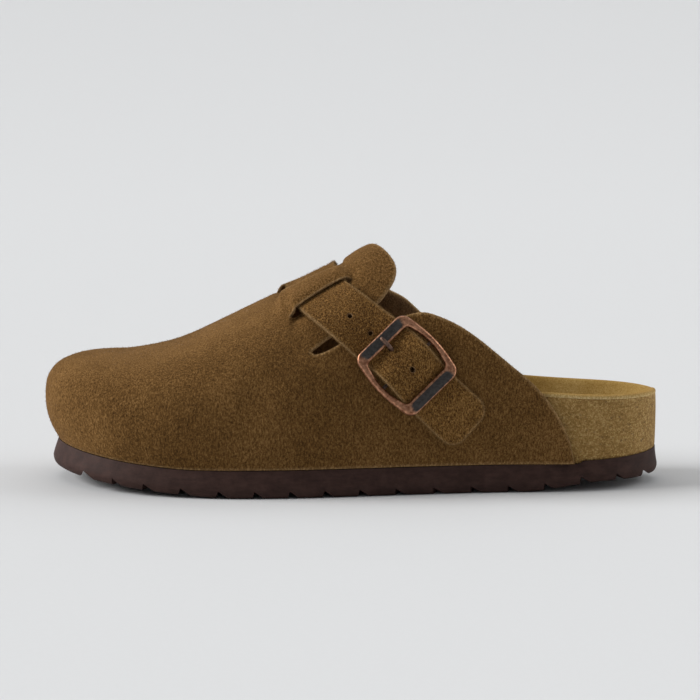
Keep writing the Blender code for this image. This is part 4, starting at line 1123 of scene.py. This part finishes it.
def pared_depth(x, girth):
    """How far the leather is pared thinner at the strap's slits and under the quarter's lip."""
    outer, inner, lip, in_outer, in_inner = slit_places(x, girth)
    at_outer = in_outer * (outer > 0.0) * bell(outer, PARED_REACH)
    at_inner = in_inner * (inner < 0.0) * bell(inner, PARED_REACH)
    run = window(x, *PARED_RUN)
    at_lip = run * (lip > -LIP_EDGE) * bell(np.maximum(lip, 0.0), PARED_REACH)
    return PARED * np.maximum(np.maximum(at_outer, at_inner), at_lip)


def make_upper(last):
    """The suede upper, with its folds, its rounded cut edges and its rough inside."""
    surface, faces, pattern = upper_surface(last, UPPER_SPACING)
    normals = sheet_normals(surface, faces)
    lift = relief(surface)
    for soft in UPPER_RIPPLES:
        lift = lift + ripple(surface, *soft)
    pared = pared_depth(*pattern)
    surface = surface + normals * (lift - pared)[:, None]
    points, skin, kind, close = cut_leather(surface, faces, LEATHER - pared, UPPER_ROLL)
    finishes = [SUEDE, FLESH_SIDE, CUT_EDGE]
    piece = add_piece("suede_upper", points, skin, finishes, kind, {"edge": close})
    keep(piece, "upper")
    fuzz = close ** 2 + UPPER_NAP * (np.arange(len(points)) < len(surface))
    fuzz[len(surface):2 * len(surface)] = 0.0
    make_fibres("upper_fibres", piece, fuzz, UPPER_FIBRES, FIBRE)


def strap_points(strap, place, along, across):
    """Underside of the strap at distances along and across, flattened under the buckle."""
    middle, middle_normal, _, middle_lift = strap.place(along, np.zeros_like(along))
    point, normal, _, lift = strap.place(along, across)
    zone_start = strap.stations["under the front bar"]
    zone_end = strap.stations["under the rear bar"]
    far, close = FLAT_REACH
    flat = window(along, zone_start - far, zone_start - close, zone_end + close, zone_end + far)
    line = point + normal * lift[:, None]
    centre = middle + middle_normal * middle_lift[:, None]
    level = (centre - line) @ place.out
    return line + (flat * level)[:, None] * place.out


def strap_pattern(strap, place, spacing):
    """Flat triangles of the strap, with its rounded tip and its punched holes."""
    half = STRAP_WIDTH / 2.0
    length = strap.length
    run = np.linspace(0.0, length - TIP_RADIUS, round((length - TIP_RADIUS) / spacing) + 1)
    turn = np.linspace(0.0, math.pi / 2.0, 10)[1:]
    corner_u = length - TIP_RADIUS + TIP_RADIUS * np.sin(turn)
    corner_v = half - TIP_RADIUS + TIP_RADIUS * np.cos(turn)
    flat_half = half - TIP_RADIUS
    tip = np.linspace(flat_half, -flat_half, round(2 * flat_half / spacing) + 1)[1:-1]
    end = np.linspace(half, -half, round(2 * half / spacing) + 1)[1:-1]
    edge = np.concatenate([
        np.stack([run, np.full_like(run, half)], axis=1),
        np.stack([corner_u, corner_v], axis=1),
        np.stack([np.full_like(tip, length), tip], axis=1),
        np.stack([corner_u, -corner_v], axis=1)[::-1],
        np.stack([run, np.full_like(run, -half)], axis=1)[::-1],
        np.stack([np.zeros_like(end), end], axis=1)[::-1],
    ])
    prong = strap_station(strap, place, PRONG_HOLE)
    turn = round_turn(18)
    hole = np.stack([HOLE_RADIUS * np.cos(turn), HOLE_RADIUS * np.sin(turn)], axis=1)
    loops = [edge] + [hole + (prong + HOLE_PITCH * i, 0.0) for i in (-2, -1, 0, 1, 2)]
    grid = np.array([
        (u, v)
        for u in np.arange(spacing / 2.0, length, spacing)
        for v in np.linspace(-half, half, round(2.0 * half / spacing) + 1)[1:-1]
    ])
    grid = grid[inside(grid, edge)]
    for loop in loops:
        grid = grid[~near(grid, loop, 0.45 * spacing)]
    for loop in loops[1:]:
        grid = grid[~inside(grid, loop)]
    return fill_loops(loops, grid)


def make_strap(strap, place):
    """The strap, cut from the same suede."""
    flat, faces = strap_pattern(strap, place, STRAP_SPACING)
    under = strap_points(strap, place, flat[:, 0], flat[:, 1])
    normals = sheet_normals(under, faces)
    if (normals[len(normals) // 2] @ place.out) < 0.0:
        faces = flip(faces)
        normals = -normals
    top = under + normals * STRAP_LEATHER
    top = top + normals * ripple(top, *STRAP_RIPPLE)[:, None]
    points, skin, kind, close = cut_leather(top, faces, STRAP_LEATHER, STRAP_ROLL)
    # The walls of the holes take the dark flesh side finish and lose the pale edge strip, as painted
    # shade of the narrow holes, and no fibres stand in them
    rim = sorted({vertex for edge in open_edges(faces) for vertex in edge})
    flat = np.concatenate([flat, flat] + [flat[rim]] * len(EDGE_ROUNDING))
    shaded_hole_zone = (np.abs(flat[:, 1]) < HOLE_CLEAR) & (flat[:, 0] < strap.length - HOLE_CLEAR)
    shaded_hole_zone &= flat[:, 0] > HOLE_CLEAR
    close[shaded_hole_zone] = 0.0
    kind = [1 if side == 2 and shaded_hole_zone[face[0]] else side for face, side in zip(skin, kind)]
    finishes = [STRAP_SUEDE, FLESH_SIDE, CUT_EDGE]
    piece = add_piece("suede_strap", points, skin, finishes, kind, {"edge": close})
    keep(piece, "strap")
    fuzz = 1.8 * close ** 2 + STRAP_NAP * (np.arange(len(points)) < len(top))
    fuzz[len(top):2 * len(top)] = 0.0
    make_fibres("strap_fibres", piece, fuzz, STRAP_FIBRES, FIBRE)


def make_footbed():
    """The cork body, smooth on its side, with its rim rounded under the lining."""
    pairs, rows = CORK_GRID
    size = 2 * pairs
    stations = ring_stations(pairs)
    vertices, faces = footbed_surface(rows, pairs)
    below = 0
    for extra, from_rim, share in CORK_SIDE:
        ring = cork_ring(extra, stations)
        high = footbed_rim(ring) - from_rim
        low = sole_top(ring[:, 0]) - CORK_SEAT
        start = len(vertices)
        vertices += list(np.column_stack([ring, low + (high - low) * share]))
        faces += bridge(start, below, size)
        below = start
    _, bottom = cross_fill(below, 1, pairs, len(vertices))
    faces += flip(bottom)
    keep(add_piece("cork_footbed", vertices, faces, [CORK]), "footbed")


def make_insole():
    """The suede lining, glued over the dished top of the cork."""
    pairs, rows = CORK_GRID
    size = 2 * pairs
    vertices, faces = footbed_surface(rows, pairs)
    surface = np.array(vertices)
    surface[:, 2] += LINING_TOP + ripple(surface, *LINING_RIPPLE)
    stations = ring_stations(pairs)
    rim_rings = []
    for extra, above in LINING_EDGE:
        ring = cork_ring(extra, stations)
        rim_rings.append(np.column_stack([ring, footbed_rim(ring) + above]))
    surface[size:2 * size] = rim_rings[-1]
    extra_rings = np.concatenate(rim_rings[:-1])
    kept = np.arange(len(surface)) >= size
    moved = np.cumsum(kept) - 1 + len(extra_rings)
    faces = [tuple(moved[list(face)].tolist()) for face in faces if kept[list(face)].all()]
    surface = np.concatenate([extra_rings, surface[kept]])
    for level in range(len(rim_rings) - 1):
        faces += split(bridge(level * size, (level + 1) * size, size))
    points, skin, kind, close = cut_leather(surface, faces, LINING, LINING_ROLL)
    finishes = [INSOLE_SUEDE, INSOLE_SUEDE, INSOLE_EDGE]
    keep(add_piece("suede_insole", points, skin, finishes, kind, {"edge": np.sqrt(close)}), "insole")


def make_outsole():
    """The ribbed sole: rounded side, fine wavy ribs below and the main notches cut through."""
    pairs, rows = SOLE_GRID
    stations = ring_stations(pairs)
    size = 2 * pairs
    vertices = []
    for share, distance in FINE_SOLE_SIDE:
        upright = 1.0 - 0.6 * share * smoothstep(100.0, 140.0, OUTLINE[:, 0])
        ring = paired_ring(distance * upright, stations)
        low, high = sole_bottom(ring[:, 0]), sole_top(ring[:, 0])
        vertices += list(np.column_stack([ring, low + (high - low) * share]))
    faces = []
    levels = len(FINE_SOLE_SIDE)
    for level in range(levels - 1):
        faces += bridge(level * size, (level + 1) * size, size)
    ring = np.array(vertices[:size])
    shares, bottom = cross_fill(0, rows, pairs, len(vertices))
    edge_line = inset(OUTLINE, TREAD_INSET)
    for i, share in shares:
        outer, inner = ring[i], ring[size - i]
        x, y = outer[0], outer[1] + (inner[1] - outer[1]) * share
        away = line_distance(x, y, edge_line)
        bent = x + RIB_WAVE * math.sin(2.0 * math.pi * y / RIB_TURN)
        wave = math.sin(2.0 * math.pi * bent / RIB_PITCH)
        rib = RIB_DEPTH * float(smoothstep(-0.2, 0.6, wave)) * float(smoothstep(3.0, 5.0, away))
        vertices.append((x, y, float(sole_bottom(x)) + rib))
    _, top = cross_fill((levels - 1) * size, 1, pairs, len(vertices))
    faces += flip(bottom) + top
    piece = add_piece("rubber_sole", vertices, faces, [RUBBER])
    cutter = add_piece("sole_notches", *sole_groove_cutter(), [RUBBER])
    step = piece.modifiers.new("notches", "BOOLEAN")
    step.operation, step.solver, step.object = "DIFFERENCE", "EXACT", cutter
    settle(piece)
    bpy.data.objects.remove(cutter)
    piece.data.materials.clear()
    piece.data.materials.append(RUBBER)
    keep(piece, "outsole", SOLE_SHARP)


def bar_section(width, thickness, corner, count):
    """Rounded rectangle as (across from the outer edge, height)."""
    corner = min(corner, 0.499 * width, 0.499 * thickness)
    section = []
    for quadrant in range(4):
        middle_s = width - corner if quadrant in (0, 3) else corner
        middle_h = thickness - corner if quadrant in (0, 1) else corner
        for i in range(count):
            angle = math.pi / 2.0 * (quadrant + i / (count - 1))
            off_s, off_h = corner * math.cos(angle), corner * math.sin(angle)
            section.append((middle_s + off_s, middle_h + off_h))
        if quadrant in (0, 2):
            start, end = section[-1][0], width - section[-1][0]
            section += [(start + (end - start) * i / 7.0, section[-1][1]) for i in range(1, 7)]
    return section


def make_buckle_frame(place):
    """The buckle: two flat bars and two bowed rods, with the hinge bar between the rods."""
    outer, inner = (buckle_outline(BUCKLE_LENGTH, BUCKLE_WIDTH, BUCKLE_BOW, corner, 12, 14)
                    for corner in BUCKLE_CORNERS)
    opening = np.array([BUCKLE_LENGTH - 2.0 * BUCKLE_BAR, BUCKLE_WIDTH - 2.0 * BUCKLE_ROD])
    inner = inner * (opening / np.array([BUCKLE_LENGTH, BUCKLE_WIDTH]))
    vertices, worn = [], []
    for p, q in zip(outer, inner):
        width = float(np.hypot(*(q - p)))
        middle_u, middle_v = np.abs(p + q) / 2.0
        on_bar = float(smoothstep(-0.9, 0.1, middle_u - (BUCKLE_LENGTH - BUCKLE_BAR) / 2.0))
        to_rod = middle_v - BUCKLE_WIDTH / 2.0
        dark = on_bar * float(1.0 - smoothstep(-6.5, -0.5, to_rod))
        on_bar *= float(1.0 - smoothstep(-3.6, -1.6, to_rod))
        for s, h in bar_section(width, BUCKLE_THICKNESS, ROD_ROUNDING - BAR_SHARPER * on_bar, 6):
            u, v = p + (q - p) * s / width
            vertices.append(place.at(u, v, h + BAR_CROWN * math.sin(math.pi * s / width)))
            flat = float(window(s / width, 0.0, 0.2, 0.7, 0.9))
            worn.append(1.0 - BAR_DARK * dark * flat * (h > 0.8 * BUCKLE_THICKNESS))
    count = len(outer)
    ring = len(vertices) // count
    faces = []
    for i in range(count):
        faces += bridge(i * ring, ((i + 1) % count) * ring, ring)
    end = BUCKLE_WIDTH / 2.0 + BUCKLE_BOW - 0.5 * BUCKLE_ROD
    bar_start, bar_end = (place.at(0.0, v, HINGE_HEIGHT) for v in (-end, end))
    bar, bar_faces = tube(bar_start, bar_end, HINGE_RADIUS, 20)
    start = len(vertices)
    vertices += bar
    # The hinge bar takes a low wear mark, so it is painted dark as the shade under the strap and
    # between the rods
    worn += [HINGE_PAINTED_SHADE] * len(bar)
    faces += later(bar_faces, start)
    piece = add_piece("copper_buckle", vertices, faces, [COPPER], marks={"worn": worn})
    keep(piece, "buckle_frame", BUCKLE_SHARP)


def make_prong(place):
    """The prong: a smooth pin with its tip on the front bar and a collar on the hinge bar."""
    resting = BUCKLE_THICKNESS + PRONG_RADIUS + 0.15
    route = [
        (-HINGE_RADIUS - 0.9, HINGE_HEIGHT, 0.7), (-4.5, HINGE_HEIGHT - 0.3, 0.7),
        (-7.0, HINGE_HEIGHT - 0.3, 0.7), (-9.2, 0.9, 0.75), (PRONG_HOLE - 1.4, resting + 0.1, 0.8),
        (-14.0, resting + 0.05, 0.85), (-16.6, resting, 0.85), (-17.3, resting - 0.1, 0.5),
    ]
    table = np.array(route)
    chord = chords(table[:, :2])
    places = np.linspace(0.0, chord[-1], 46)
    u, out = cubic_curve(chord, table[:, 0])(places), cubic_curve(chord, table[:, 1])(places)
    radius = np.interp(places, chord, table[:, 2])
    run, climb = np.gradient(u, places), np.gradient(out, places)
    vertices, faces, count = [], [], 16
    for i in range(len(places)):
        for angle in round_turn(count):
            off, side = radius[i] * math.sin(angle), 1.15 * radius[i] * math.cos(angle)
            vertices.append(place.at(u[i] - climb[i] * off, side, out[i] + run[i] * off))
        if i:
            faces += bridge((i - 1) * count, i * count, count)
    faces.append(tuple(range(count)))
    last_ring = (len(places) - 1) * count
    faces.append(tuple(last_ring + j for j in reversed(range(count))))
    collar, collar_faces = collar_solid(place, COLLAR_RADIUS, HINGE_RADIUS + 0.25, 1.1, 28)
    start = len(vertices)
    worn = [PRONG_WORN] * (start + len(collar))
    vertices += collar
    faces += later(collar_faces, start)
    piece = add_piece("copper_prong", vertices, faces, [COPPER], marks={"worn": worn})
    keep(piece, "buckle_prong", BUCKLE_SHARP)


def make_tab(place):
    """The leather tab folded round the hinge bar, sewn to the quarter under the strap."""
    leather = place.leather + GAP + 0.1
    profile = []
    for angle in np.linspace(math.radians(80.0), math.radians(280.0), 20):
        out = HINGE_HEIGHT + COLLAR_RADIUS * math.sin(angle)
        profile.append((COLLAR_RADIUS * math.cos(angle), out))
    under = [profile[-1], (2.0, leather + 0.5), (4.0, leather - 0.1), (TAB_LENGTH, leather - 0.5)]
    over = [(TAB_LENGTH, leather + 1.4), (4.5, leather + 2.5), (2.2, 0.6), profile[0]]
    under, over = open_curve(under, 0.8), open_curve(over, 0.8)
    profile += [tuple(point) for point in under[1:]] + [tuple(point) for point in over[:-1]]
    size = len(profile)
    halves = np.linspace(-TAB_WIDTH / 2.0, TAB_WIDTH / 2.0, 13)
    vertices = [place.at(u, v, out) for v in halves for u, out in profile]
    faces = []
    for i in range(len(halves) - 1):
        faces += bridge(i * size, (i + 1) * size, size)
    last_row = (len(halves) - 1) * size
    faces += [tuple(range(size)), tuple(last_row + j for j in reversed(range(size)))]
    plain = {"edge": np.zeros(len(vertices))}
    piece = add_piece("suede_tab", vertices, faces, [STRAP_SUEDE], marks=plain)
    keep(piece, "buckle_tab", BUCKLE_SHARP)


def sum_node(operation, swapped=False):
    """Return the method that joins a wire and another value with a node of maths."""
    def method(self, other):
        first, second = (other, self) if swapped else (self, other)
        return self.board.node("ShaderNodeMath", {"operation": operation}, {0: first, 1: second})

    return method


class Wire:
    """An output of a node, which can be used in sums."""

    def __init__(self, board, socket):
        self.board = board
        self.socket = socket

    __add__, __radd__ = sum_node("ADD"), sum_node("ADD", True)
    __sub__, __rsub__ = sum_node("SUBTRACT"), sum_node("SUBTRACT", True)
    __mul__, __rmul__ = sum_node("MULTIPLY"), sum_node("MULTIPLY", True)


class Board:
    """A node tree being drawn up."""

    def __init__(self, tree):
        self.tree = tree

    def node(self, kind, settings=None, sockets=None, output=0):
        """Add a node: its settings first, then its sockets' values or links."""
        made = self.tree.nodes.new(kind)
        for key, value in (settings or {}).items():
            if key == "stops":
                ramp = made.color_ramp
                while len(ramp.elements) < len(value):
                    ramp.elements.new(0.5)
                for element, (position, colour) in zip(ramp.elements, value):
                    element.position, element.color = position, (*colour, 1.0)
            else:
                setattr(made, key, value)
        for key, value in (sockets or {}).items():
            self.join(value, made.inputs[key])
        return Wire(self, made.outputs[output])

    def join(self, value, socket):
        """Give a socket a value or a link."""
        if isinstance(value, Wire):
            self.tree.links.new(value.socket, socket)
        else:
            socket.default_value = value

    def object_place(self, turn=(0.0, 0.0, 0.0), scale=(1.0, 1.0, 1.0)):
        """Object coordinates, turned and scaled."""
        place = self.node("ShaderNodeTexCoord", output="Object")
        return self.node("ShaderNodeMapping", {}, {"Vector": place, "Rotation": turn, "Scale": scale})

    def noise(self, place, size, detail=2.0, rough=0.5):
        """Noise with patches of about a size in millimetres."""
        sockets = {"Vector": place, "Scale": 1.0 / (size * MM), "Detail": detail, "Roughness": rough}
        return self.node("ShaderNodeTexNoise", {}, sockets)

    def cells(self, place, size, feature="F1", output="Distance"):
        """Cells of about a size in millimetres."""
        sockets = {"Vector": place, "Scale": 1.0 / (size * MM)}
        return self.node("ShaderNodeTexVoronoi", {"feature": feature}, sockets, output)

    def spread(self, value, low, high):
        """Ease from 0 to 1 while a value goes from low to high."""
        sockets = {"Value": value, "From Min": low, "From Max": high}
        return self.node("ShaderNodeMapRange", {"interpolation_type": "SMOOTHSTEP"}, sockets)

    def ramp(self, tone, stops):
        """A colour ramp through stops given as (position, colour)."""
        return self.node("ShaderNodeValToRGB", {"stops": stops}, {"Fac": tone})

    def mix(self, share, first, second):
        """Blend two colours."""
        sockets = {0: share, 6: colour_of(first), 7: colour_of(second)}
        return self.node("ShaderNodeMix", {"data_type": "RGBA"}, sockets, 2)

    def mark(self, name):
        """A value that the mesh carries."""
        return self.node("ShaderNodeAttribute", {"attribute_name": name}, {}, "Fac")


def colour_of(value):
    """A colour as a socket takes it."""
    return value if isinstance(value, Wire) else (*value, 1.0)


class Finish(Board):
    """A material with one principled shader."""

    def __init__(self, name, constants):
        self.material = bpy.data.materials.new(name)
        self.material.use_nodes = True
        super().__init__(self.material.node_tree)
        self.shader = self.tree.nodes["Principled BSDF"]
        for key, value in constants.items():
            self.shader.inputs[key].default_value = value

    def wear(self, colour=None, roughness=None, metallic=None, height=None, depth=0.1):
        """Join the varying looks to the shader; depth is the relief in millimetres."""
        for key, value in (("Base Color", colour), ("Roughness", roughness), ("Metallic", metallic)):
            if value is not None:
                self.join(value, self.shader.inputs[key])
        if height is not None:
            sockets = {"Height": height, "Distance": depth * MM, "Strength": 1.0}
            self.join(self.node("ShaderNodeBump", {}, sockets), self.shader.inputs["Normal"])
        return self.material


def suede(name, dark, middle, light, rim, contrast=1.0, grain=1.0, sheen=0.2, depth=0.42):
    """Napped leather: short leaning fibres over soft darker and lighter patches."""
    finish = Finish(name, {
        "Roughness": 0.92,
        "Specular IOR Level": 0.08,
        "Sheen Weight": sheen,
        "Sheen Roughness": 0.45,
        "Sheen Tint": (*SHEEN_TINT, 1.0),
    })
    place = finish.object_place()
    sway = finish.noise(place, 9.0, 1.0, 0.5)
    lean = finish.object_place((0.0, 0.45, 0.3), (1.0, 1.0, 0.55))
    lean = finish.node("ShaderNodeVectorMath", {"operation": "ADD"}, {0: lean, 1: sway * 0.0016})
    nap = finish.noise(lean, 0.74 * grain, 2.0, 0.62)
    fleck = finish.noise(place, 0.45 * grain, 1.0, 0.5)
    clump = finish.noise(lean, 2.2 * grain, 2.0, 0.5)
    patch = finish.noise(place, 15.0, 2.0, 0.55)
    wide = finish.noise(place, 60.0, 1.0, 0.5)
    tone = 0.5 + contrast * ((nap - 0.5) * 1.4 + (fleck - 0.5) * 0.75 + (clump - 0.5) * 0.1)
    tone = tone + (patch - 0.5) * 0.3 + (wide - 0.5) * 0.35
    colour = finish.ramp(tone, [(0.12, dark), (0.5, middle), (0.9, light)])
    edge = finish.spread(finish.mark("edge"), 0.35, 1.0)
    fray = finish.spread(nap, 0.45, 0.65)
    colour = finish.mix(edge * (0.3 + 0.5 * fray), colour, rim)
    height = nap * 0.8 + fleck * 0.35 + clump * 0.35
    return finish.wear(colour, height=height, depth=depth)


def cut_edge(name, dark, light):
    """The raw edge of the leather: pressed fibres in thin layers, greyer than the face."""
    finish = Finish(name, {
        "Roughness": 0.92,
        "Specular IOR Level": 0.06,
        "Sheen Weight": 0.12,
        "Sheen Tint": (*SHEEN_TINT, 1.0),
    })
    place = finish.object_place()
    fibre = finish.noise(finish.object_place((0.0, 0.6, 0.0), (1.0, 1.0, 2.5)), 0.5, 3.0, 0.7)
    fleck = finish.noise(place, 0.9, 2.0, 0.6)
    tone = finish.spread(fibre * 0.6 + fleck * 0.4, 0.36, 0.64)
    return finish.wear(finish.mix(tone, dark, light), height=fibre, depth=0.2)


def cork():
    """Pressed cork granules with pale and dark grains."""
    finish = Finish("pressed cork", {"Specular IOR Level": 0.25})
    place = finish.object_place()
    wavy = finish.noise(place, 1.1, 3.0, 0.6)
    grains = finish.cells(place, 1.0, "F1", "Color")
    grain_tone = finish.node("ShaderNodeSeparateColor", {}, {"Color": grains}, 0)
    fine = finish.cells(place, 0.5, "F1", "Color")
    fine_tone = finish.node("ShaderNodeSeparateColor", {}, {"Color": fine}, 1)
    seam = finish.cells(place, 1.0, "DISTANCE_TO_EDGE", "Distance")
    cloud = finish.noise(place, 12.0, 3.0, 0.6)
    tone = 0.5 + (grain_tone - 0.5) * 0.26 + (fine_tone - 0.5) * 0.34
    tone = tone + (wavy - 0.5) * 0.7 + (cloud - 0.5) * 0.6
    colour = finish.ramp(tone, CORK_TONES)
    pale = finish.spread(fine_tone, 0.80, 0.92) * finish.spread(wavy, 0.4, 0.55)
    colour = finish.mix(pale * 0.55, colour, CORK_PALE)
    speck = finish.spread(grain_tone, 0.93, 0.97) * finish.spread(fine_tone, 0.35, 0.55)
    colour = finish.mix(speck * 0.7, colour, CORK_SPECK)
    height = finish.spread(seam, 0.0, 0.16) * 0.5 + wavy * 0.5 + speck * -0.4
    return finish.wear(colour, 0.72 + 0.2 * wavy, height=height, depth=0.16)


def rubber():
    """Foam rubber, matt, with fine pores and a few scuffs."""
    finish = Finish("foam rubber", {"Specular IOR Level": 0.14})
    place = finish.object_place()
    pores = finish.cells(place, 0.7)
    cloud = finish.noise(place, 6.0, 4.0, 0.6)
    scuff = finish.noise(finish.object_place((0.0, 0.0, 0.0), (0.25, 0.25, 1.0)), 1.4, 4.0, 0.7)
    tone = 0.5 + (cloud - 0.5) * 1.1 + (scuff - 0.5) * 0.8
    colour = finish.mix(finish.spread(tone, 0.1, 0.95), RUBBER_DARK, RUBBER_LIGHT)
    height = finish.spread(pores, 0.1, 0.5) * 0.4 + scuff * 0.6
    return finish.wear(colour, 0.55 + 0.25 * scuff, height=height, depth=0.07)


def copper():
    """Copper darkened on its flats and rubbed bright on its edges and rods; the same mark keeps the
    hinge bar dark as painted shade.
    """
    finish = Finish("antique copper", {"Specular IOR Level": 0.5})
    place = finish.object_place()
    cloud = finish.noise(place, 1.6, 4.0, 0.65)
    brushed = finish.noise(finish.object_place((0.0, 0.75, 0.0), (0.12, 1.0, 1.0)), 0.4, 3.0, 0.6)
    worn = finish.mark("worn") + (cloud - 0.5) * 0.4 + (brushed - 0.5) * 0.1
    bright = finish.spread(worn, 0.3, 0.9)
    shade = finish.spread(cloud, 0.3, 0.7)
    copper_tone = finish.mix(shade, COPPER_DEEP, COPPER_BRIGHT)
    dull = finish.spread(cloud * 0.7 + brushed * 0.3, 0.3, 0.7)
    dark_tone = finish.mix(dull, COPPER_DARK, COPPER_GREY)
    colour = finish.mix(bright, dark_tone, copper_tone)
    roughness = 0.46 - 0.14 * bright + 0.18 * brushed
    return finish.wear(colour, roughness, 0.75 + 0.25 * bright, brushed * 0.4 + cloud * 0.6, 0.018)


def studio_floor():
    """Pale seamless paper."""
    finish = Finish("pale paper", {"Roughness": 0.85, "Specular IOR Level": 0.1})
    speckle = finish.noise(finish.object_place(), 3.0, 2.0, 0.5)
    return finish.wear(finish.mix(speckle, FLOOR_TONES[0], FLOOR_TONES[1]))


def fibre_tree():
    """Scatter short leaning fibres over a surface where its fuzz mark is set."""
    tree = bpy.data.node_groups.new("suede fibres", "GeometryNodeTree")
    panel = tree.interface
    panel.new_socket("Leather", in_out="INPUT", socket_type="NodeSocketGeometry")
    for name in ("Density", "Length", "Thickness", "Lean"):
        panel.new_socket(name, in_out="INPUT", socket_type="NodeSocketFloat")
    panel.new_socket("Seed", in_out="INPUT", socket_type="NodeSocketInt")
    panel.new_socket("Finish", in_out="INPUT", socket_type="NodeSocketMaterial")
    panel.new_socket("Fibres", in_out="OUTPUT", socket_type="NodeSocketGeometry")
    board = Board(tree)
    given = tree.nodes.new("NodeGroupInput")
    sizes = {socket.name: Wire(board, socket) for socket in given.outputs if socket.name}
    fuzz = board.node("GeometryNodeInputNamedAttribute", {"data_type": "FLOAT"}, {"Name": "fuzz"})
    scatter = tree.nodes.new("GeometryNodeDistributePointsOnFaces")
    board.join(sizes["Leather"], scatter.inputs["Mesh"])
    board.join(sizes["Density"] * fuzz, scatter.inputs["Density"])
    board.join(sizes["Seed"], scatter.inputs["Seed"])
    fibre = board.node("GeometryNodeMeshCone", {"fill_type": "NGON"}, {
        "Vertices": 3, "Radius Top": 0.0, "Radius Bottom": 0.5, "Depth": 1.0,
    })
    sway = board.node("FunctionNodeRandomValue", {"data_type": "FLOAT_VECTOR"}, {
        0: (-1.0, -1.0, -3.14), 1: (1.0, 1.0, 3.14), "Seed": 11,
    })
    lean = board.node("ShaderNodeCombineXYZ", {}, {"X": sizes["Lean"], "Y": sizes["Lean"], "Z": 1.0})
    tilt = board.node("ShaderNodeVectorMath", {"operation": "MULTIPLY"}, {0: sway, 1: lean})
    turn = board.node("FunctionNodeEulerToRotation", {}, {"Euler": tilt})
    turned = board.node("FunctionNodeRotateRotation", {"rotation_space": "LOCAL"}, {
        "Rotation": Wire(board, scatter.outputs["Rotation"]), "Rotate By": turn,
    })
    spans = {2: 0.45, 3: 1.0, "Seed": 23}
    long = board.node("FunctionNodeRandomValue", {"data_type": "FLOAT"}, spans, 1)
    scale = board.node("ShaderNodeCombineXYZ", {}, {
        "X": sizes["Thickness"], "Y": sizes["Thickness"], "Z": sizes["Length"] * long,
    })
    placed = board.node("GeometryNodeInstanceOnPoints", {}, {
        "Points": Wire(board, scatter.outputs["Points"]),
        "Instance": fibre, "Rotation": turned, "Scale": scale,
    })
    real = board.node("GeometryNodeRealizeInstances", {}, {"Geometry": placed})
    dressed = board.node("GeometryNodeSetMaterial", {}, {"Geometry": real, "Material": sizes["Finish"]})
    result = tree.nodes.new("NodeGroupOutput")
    board.join(dressed, result.inputs["Fibres"])
    return tree


def make_fibres(name, leather, fuzz, sizes, material):
    """Grow fibres on a copy of a piece of leather, as a piece of its own."""
    mesh = leather.data.copy()
    carry(mesh, "fuzz", fuzz)
    body = put(name, mesh)
    step = body.modifiers.new("fibres", "NODES")
    step.node_group = bpy.data.node_groups.get("suede fibres") or fibre_tree()
    sizes = dict(sizes, Finish=material)
    for item in step.node_group.interface.items_tree:
        if item.item_type == "SOCKET" and item.in_out == "INPUT" and item.name in sizes:
            step[item.identifier] = sizes[item.name]
    settle(body)
    body.data.polygons.foreach_set("use_smooth", [True] * len(body.data.polygons))
    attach(body, "root")


def light_from(name, strength, softness, azimuth, height):
    """A large soft light far away; azimuth 0 is behind the camera, and -90 is the toe's side."""
    lamp = bpy.data.lights.new(name, "SUN")
    lamp.energy = strength
    lamp.angle = math.radians(softness)
    put(name, lamp).rotation_euler = (math.radians(90.0 - height), 0.0, math.radians(azimuth))


def set_stage():
    """Pale floor that curves up behind, soft lights and the camera."""
    turns = np.linspace(0.0, math.pi / 2.0, 40)
    curve = [(FLOOR_BACK + FLOOR_BEND * math.sin(turn), FLOOR_BEND - FLOOR_BEND * math.cos(turn))
             for turn in turns]
    profile = [(-FLOOR_FRONT, 0.0)] + curve
    mesh = bpy.data.meshes.new("studio_floor")
    points = [(x, y, z) for x in (-FLOOR_SIDE, FLOOR_SIDE) for y, z in profile]
    size = len(profile)
    mesh.from_pydata(points, [], [(i, size + i, size + i + 1, i + 1) for i in range(size - 1)])
    mesh.materials.append(studio_floor())
    mesh.polygons.foreach_set("use_smooth", [True] * (size - 1))
    put("studio_floor", mesh)
    for sun in SUNS:
        light_from(*sun)
    world = bpy.data.worlds.new("studio")
    world.use_nodes = True
    sky = world.node_tree.nodes["Background"]
    sky.inputs["Color"].default_value = ROOM_COLOUR
    sky.inputs["Strength"].default_value = ROOM_LIGHT
    bpy.context.scene.world = world
    bpy.context.scene.view_settings.view_transform = "Standard"

    angle = math.radians(CAMERA_HEIGHT)
    lens = bpy.data.cameras.new("camera")
    lens.sensor_width = 36.0
    lens.lens = CAMERA_LENS
    camera = put("camera", lens)
    away = Vector((0.0, -math.cos(angle), math.sin(angle))) * CAMERA_DISTANCE
    camera.location = Vector(LOOK_AT) + away
    camera.rotation_euler = (math.radians(90.0) - angle, 0.0, 0.0)
    bpy.context.scene.camera = camera


SUEDE = suede("brown suede", *SUEDE_TONES, SUEDE_RIM)
STRAP_SUEDE = suede("brown strap suede", *STRAP_TONES, SUEDE_RIM, contrast=1.35, grain=0.85)
FLESH_SIDE = suede("rough side of the suede", *FLESH_TONES, SUEDE_RIM, contrast=0.8, sheen=0.1)
CUT_EDGE = cut_edge("cut suede edge", *EDGE_TONES)
INSOLE_SUEDE = suede("tan suede", *TAN_TONES, TAN_EDGE_TONES[1], contrast=0.6, grain=0.8, depth=0.12)
INSOLE_EDGE = cut_edge("tan suede edge", *TAN_EDGE_TONES)
FIBRE = cut_edge("suede fibres", *FIBRE_TONES)
CORK = cork()
RUBBER = rubber()
COPPER = copper()

LAST_FORM = Last()
STRAP_LINE = Strap(LAST_FORM)
BUCKLE_SPOT = BucklePlace(STRAP_LINE)
make_outsole()
make_footbed()
make_insole()
make_upper(LAST_FORM)
make_strap(STRAP_LINE, BUCKLE_SPOT)
make_buckle_frame(BUCKLE_SPOT)
make_prong(BUCKLE_SPOT)
make_tab(BUCKLE_SPOT)
set_stage()
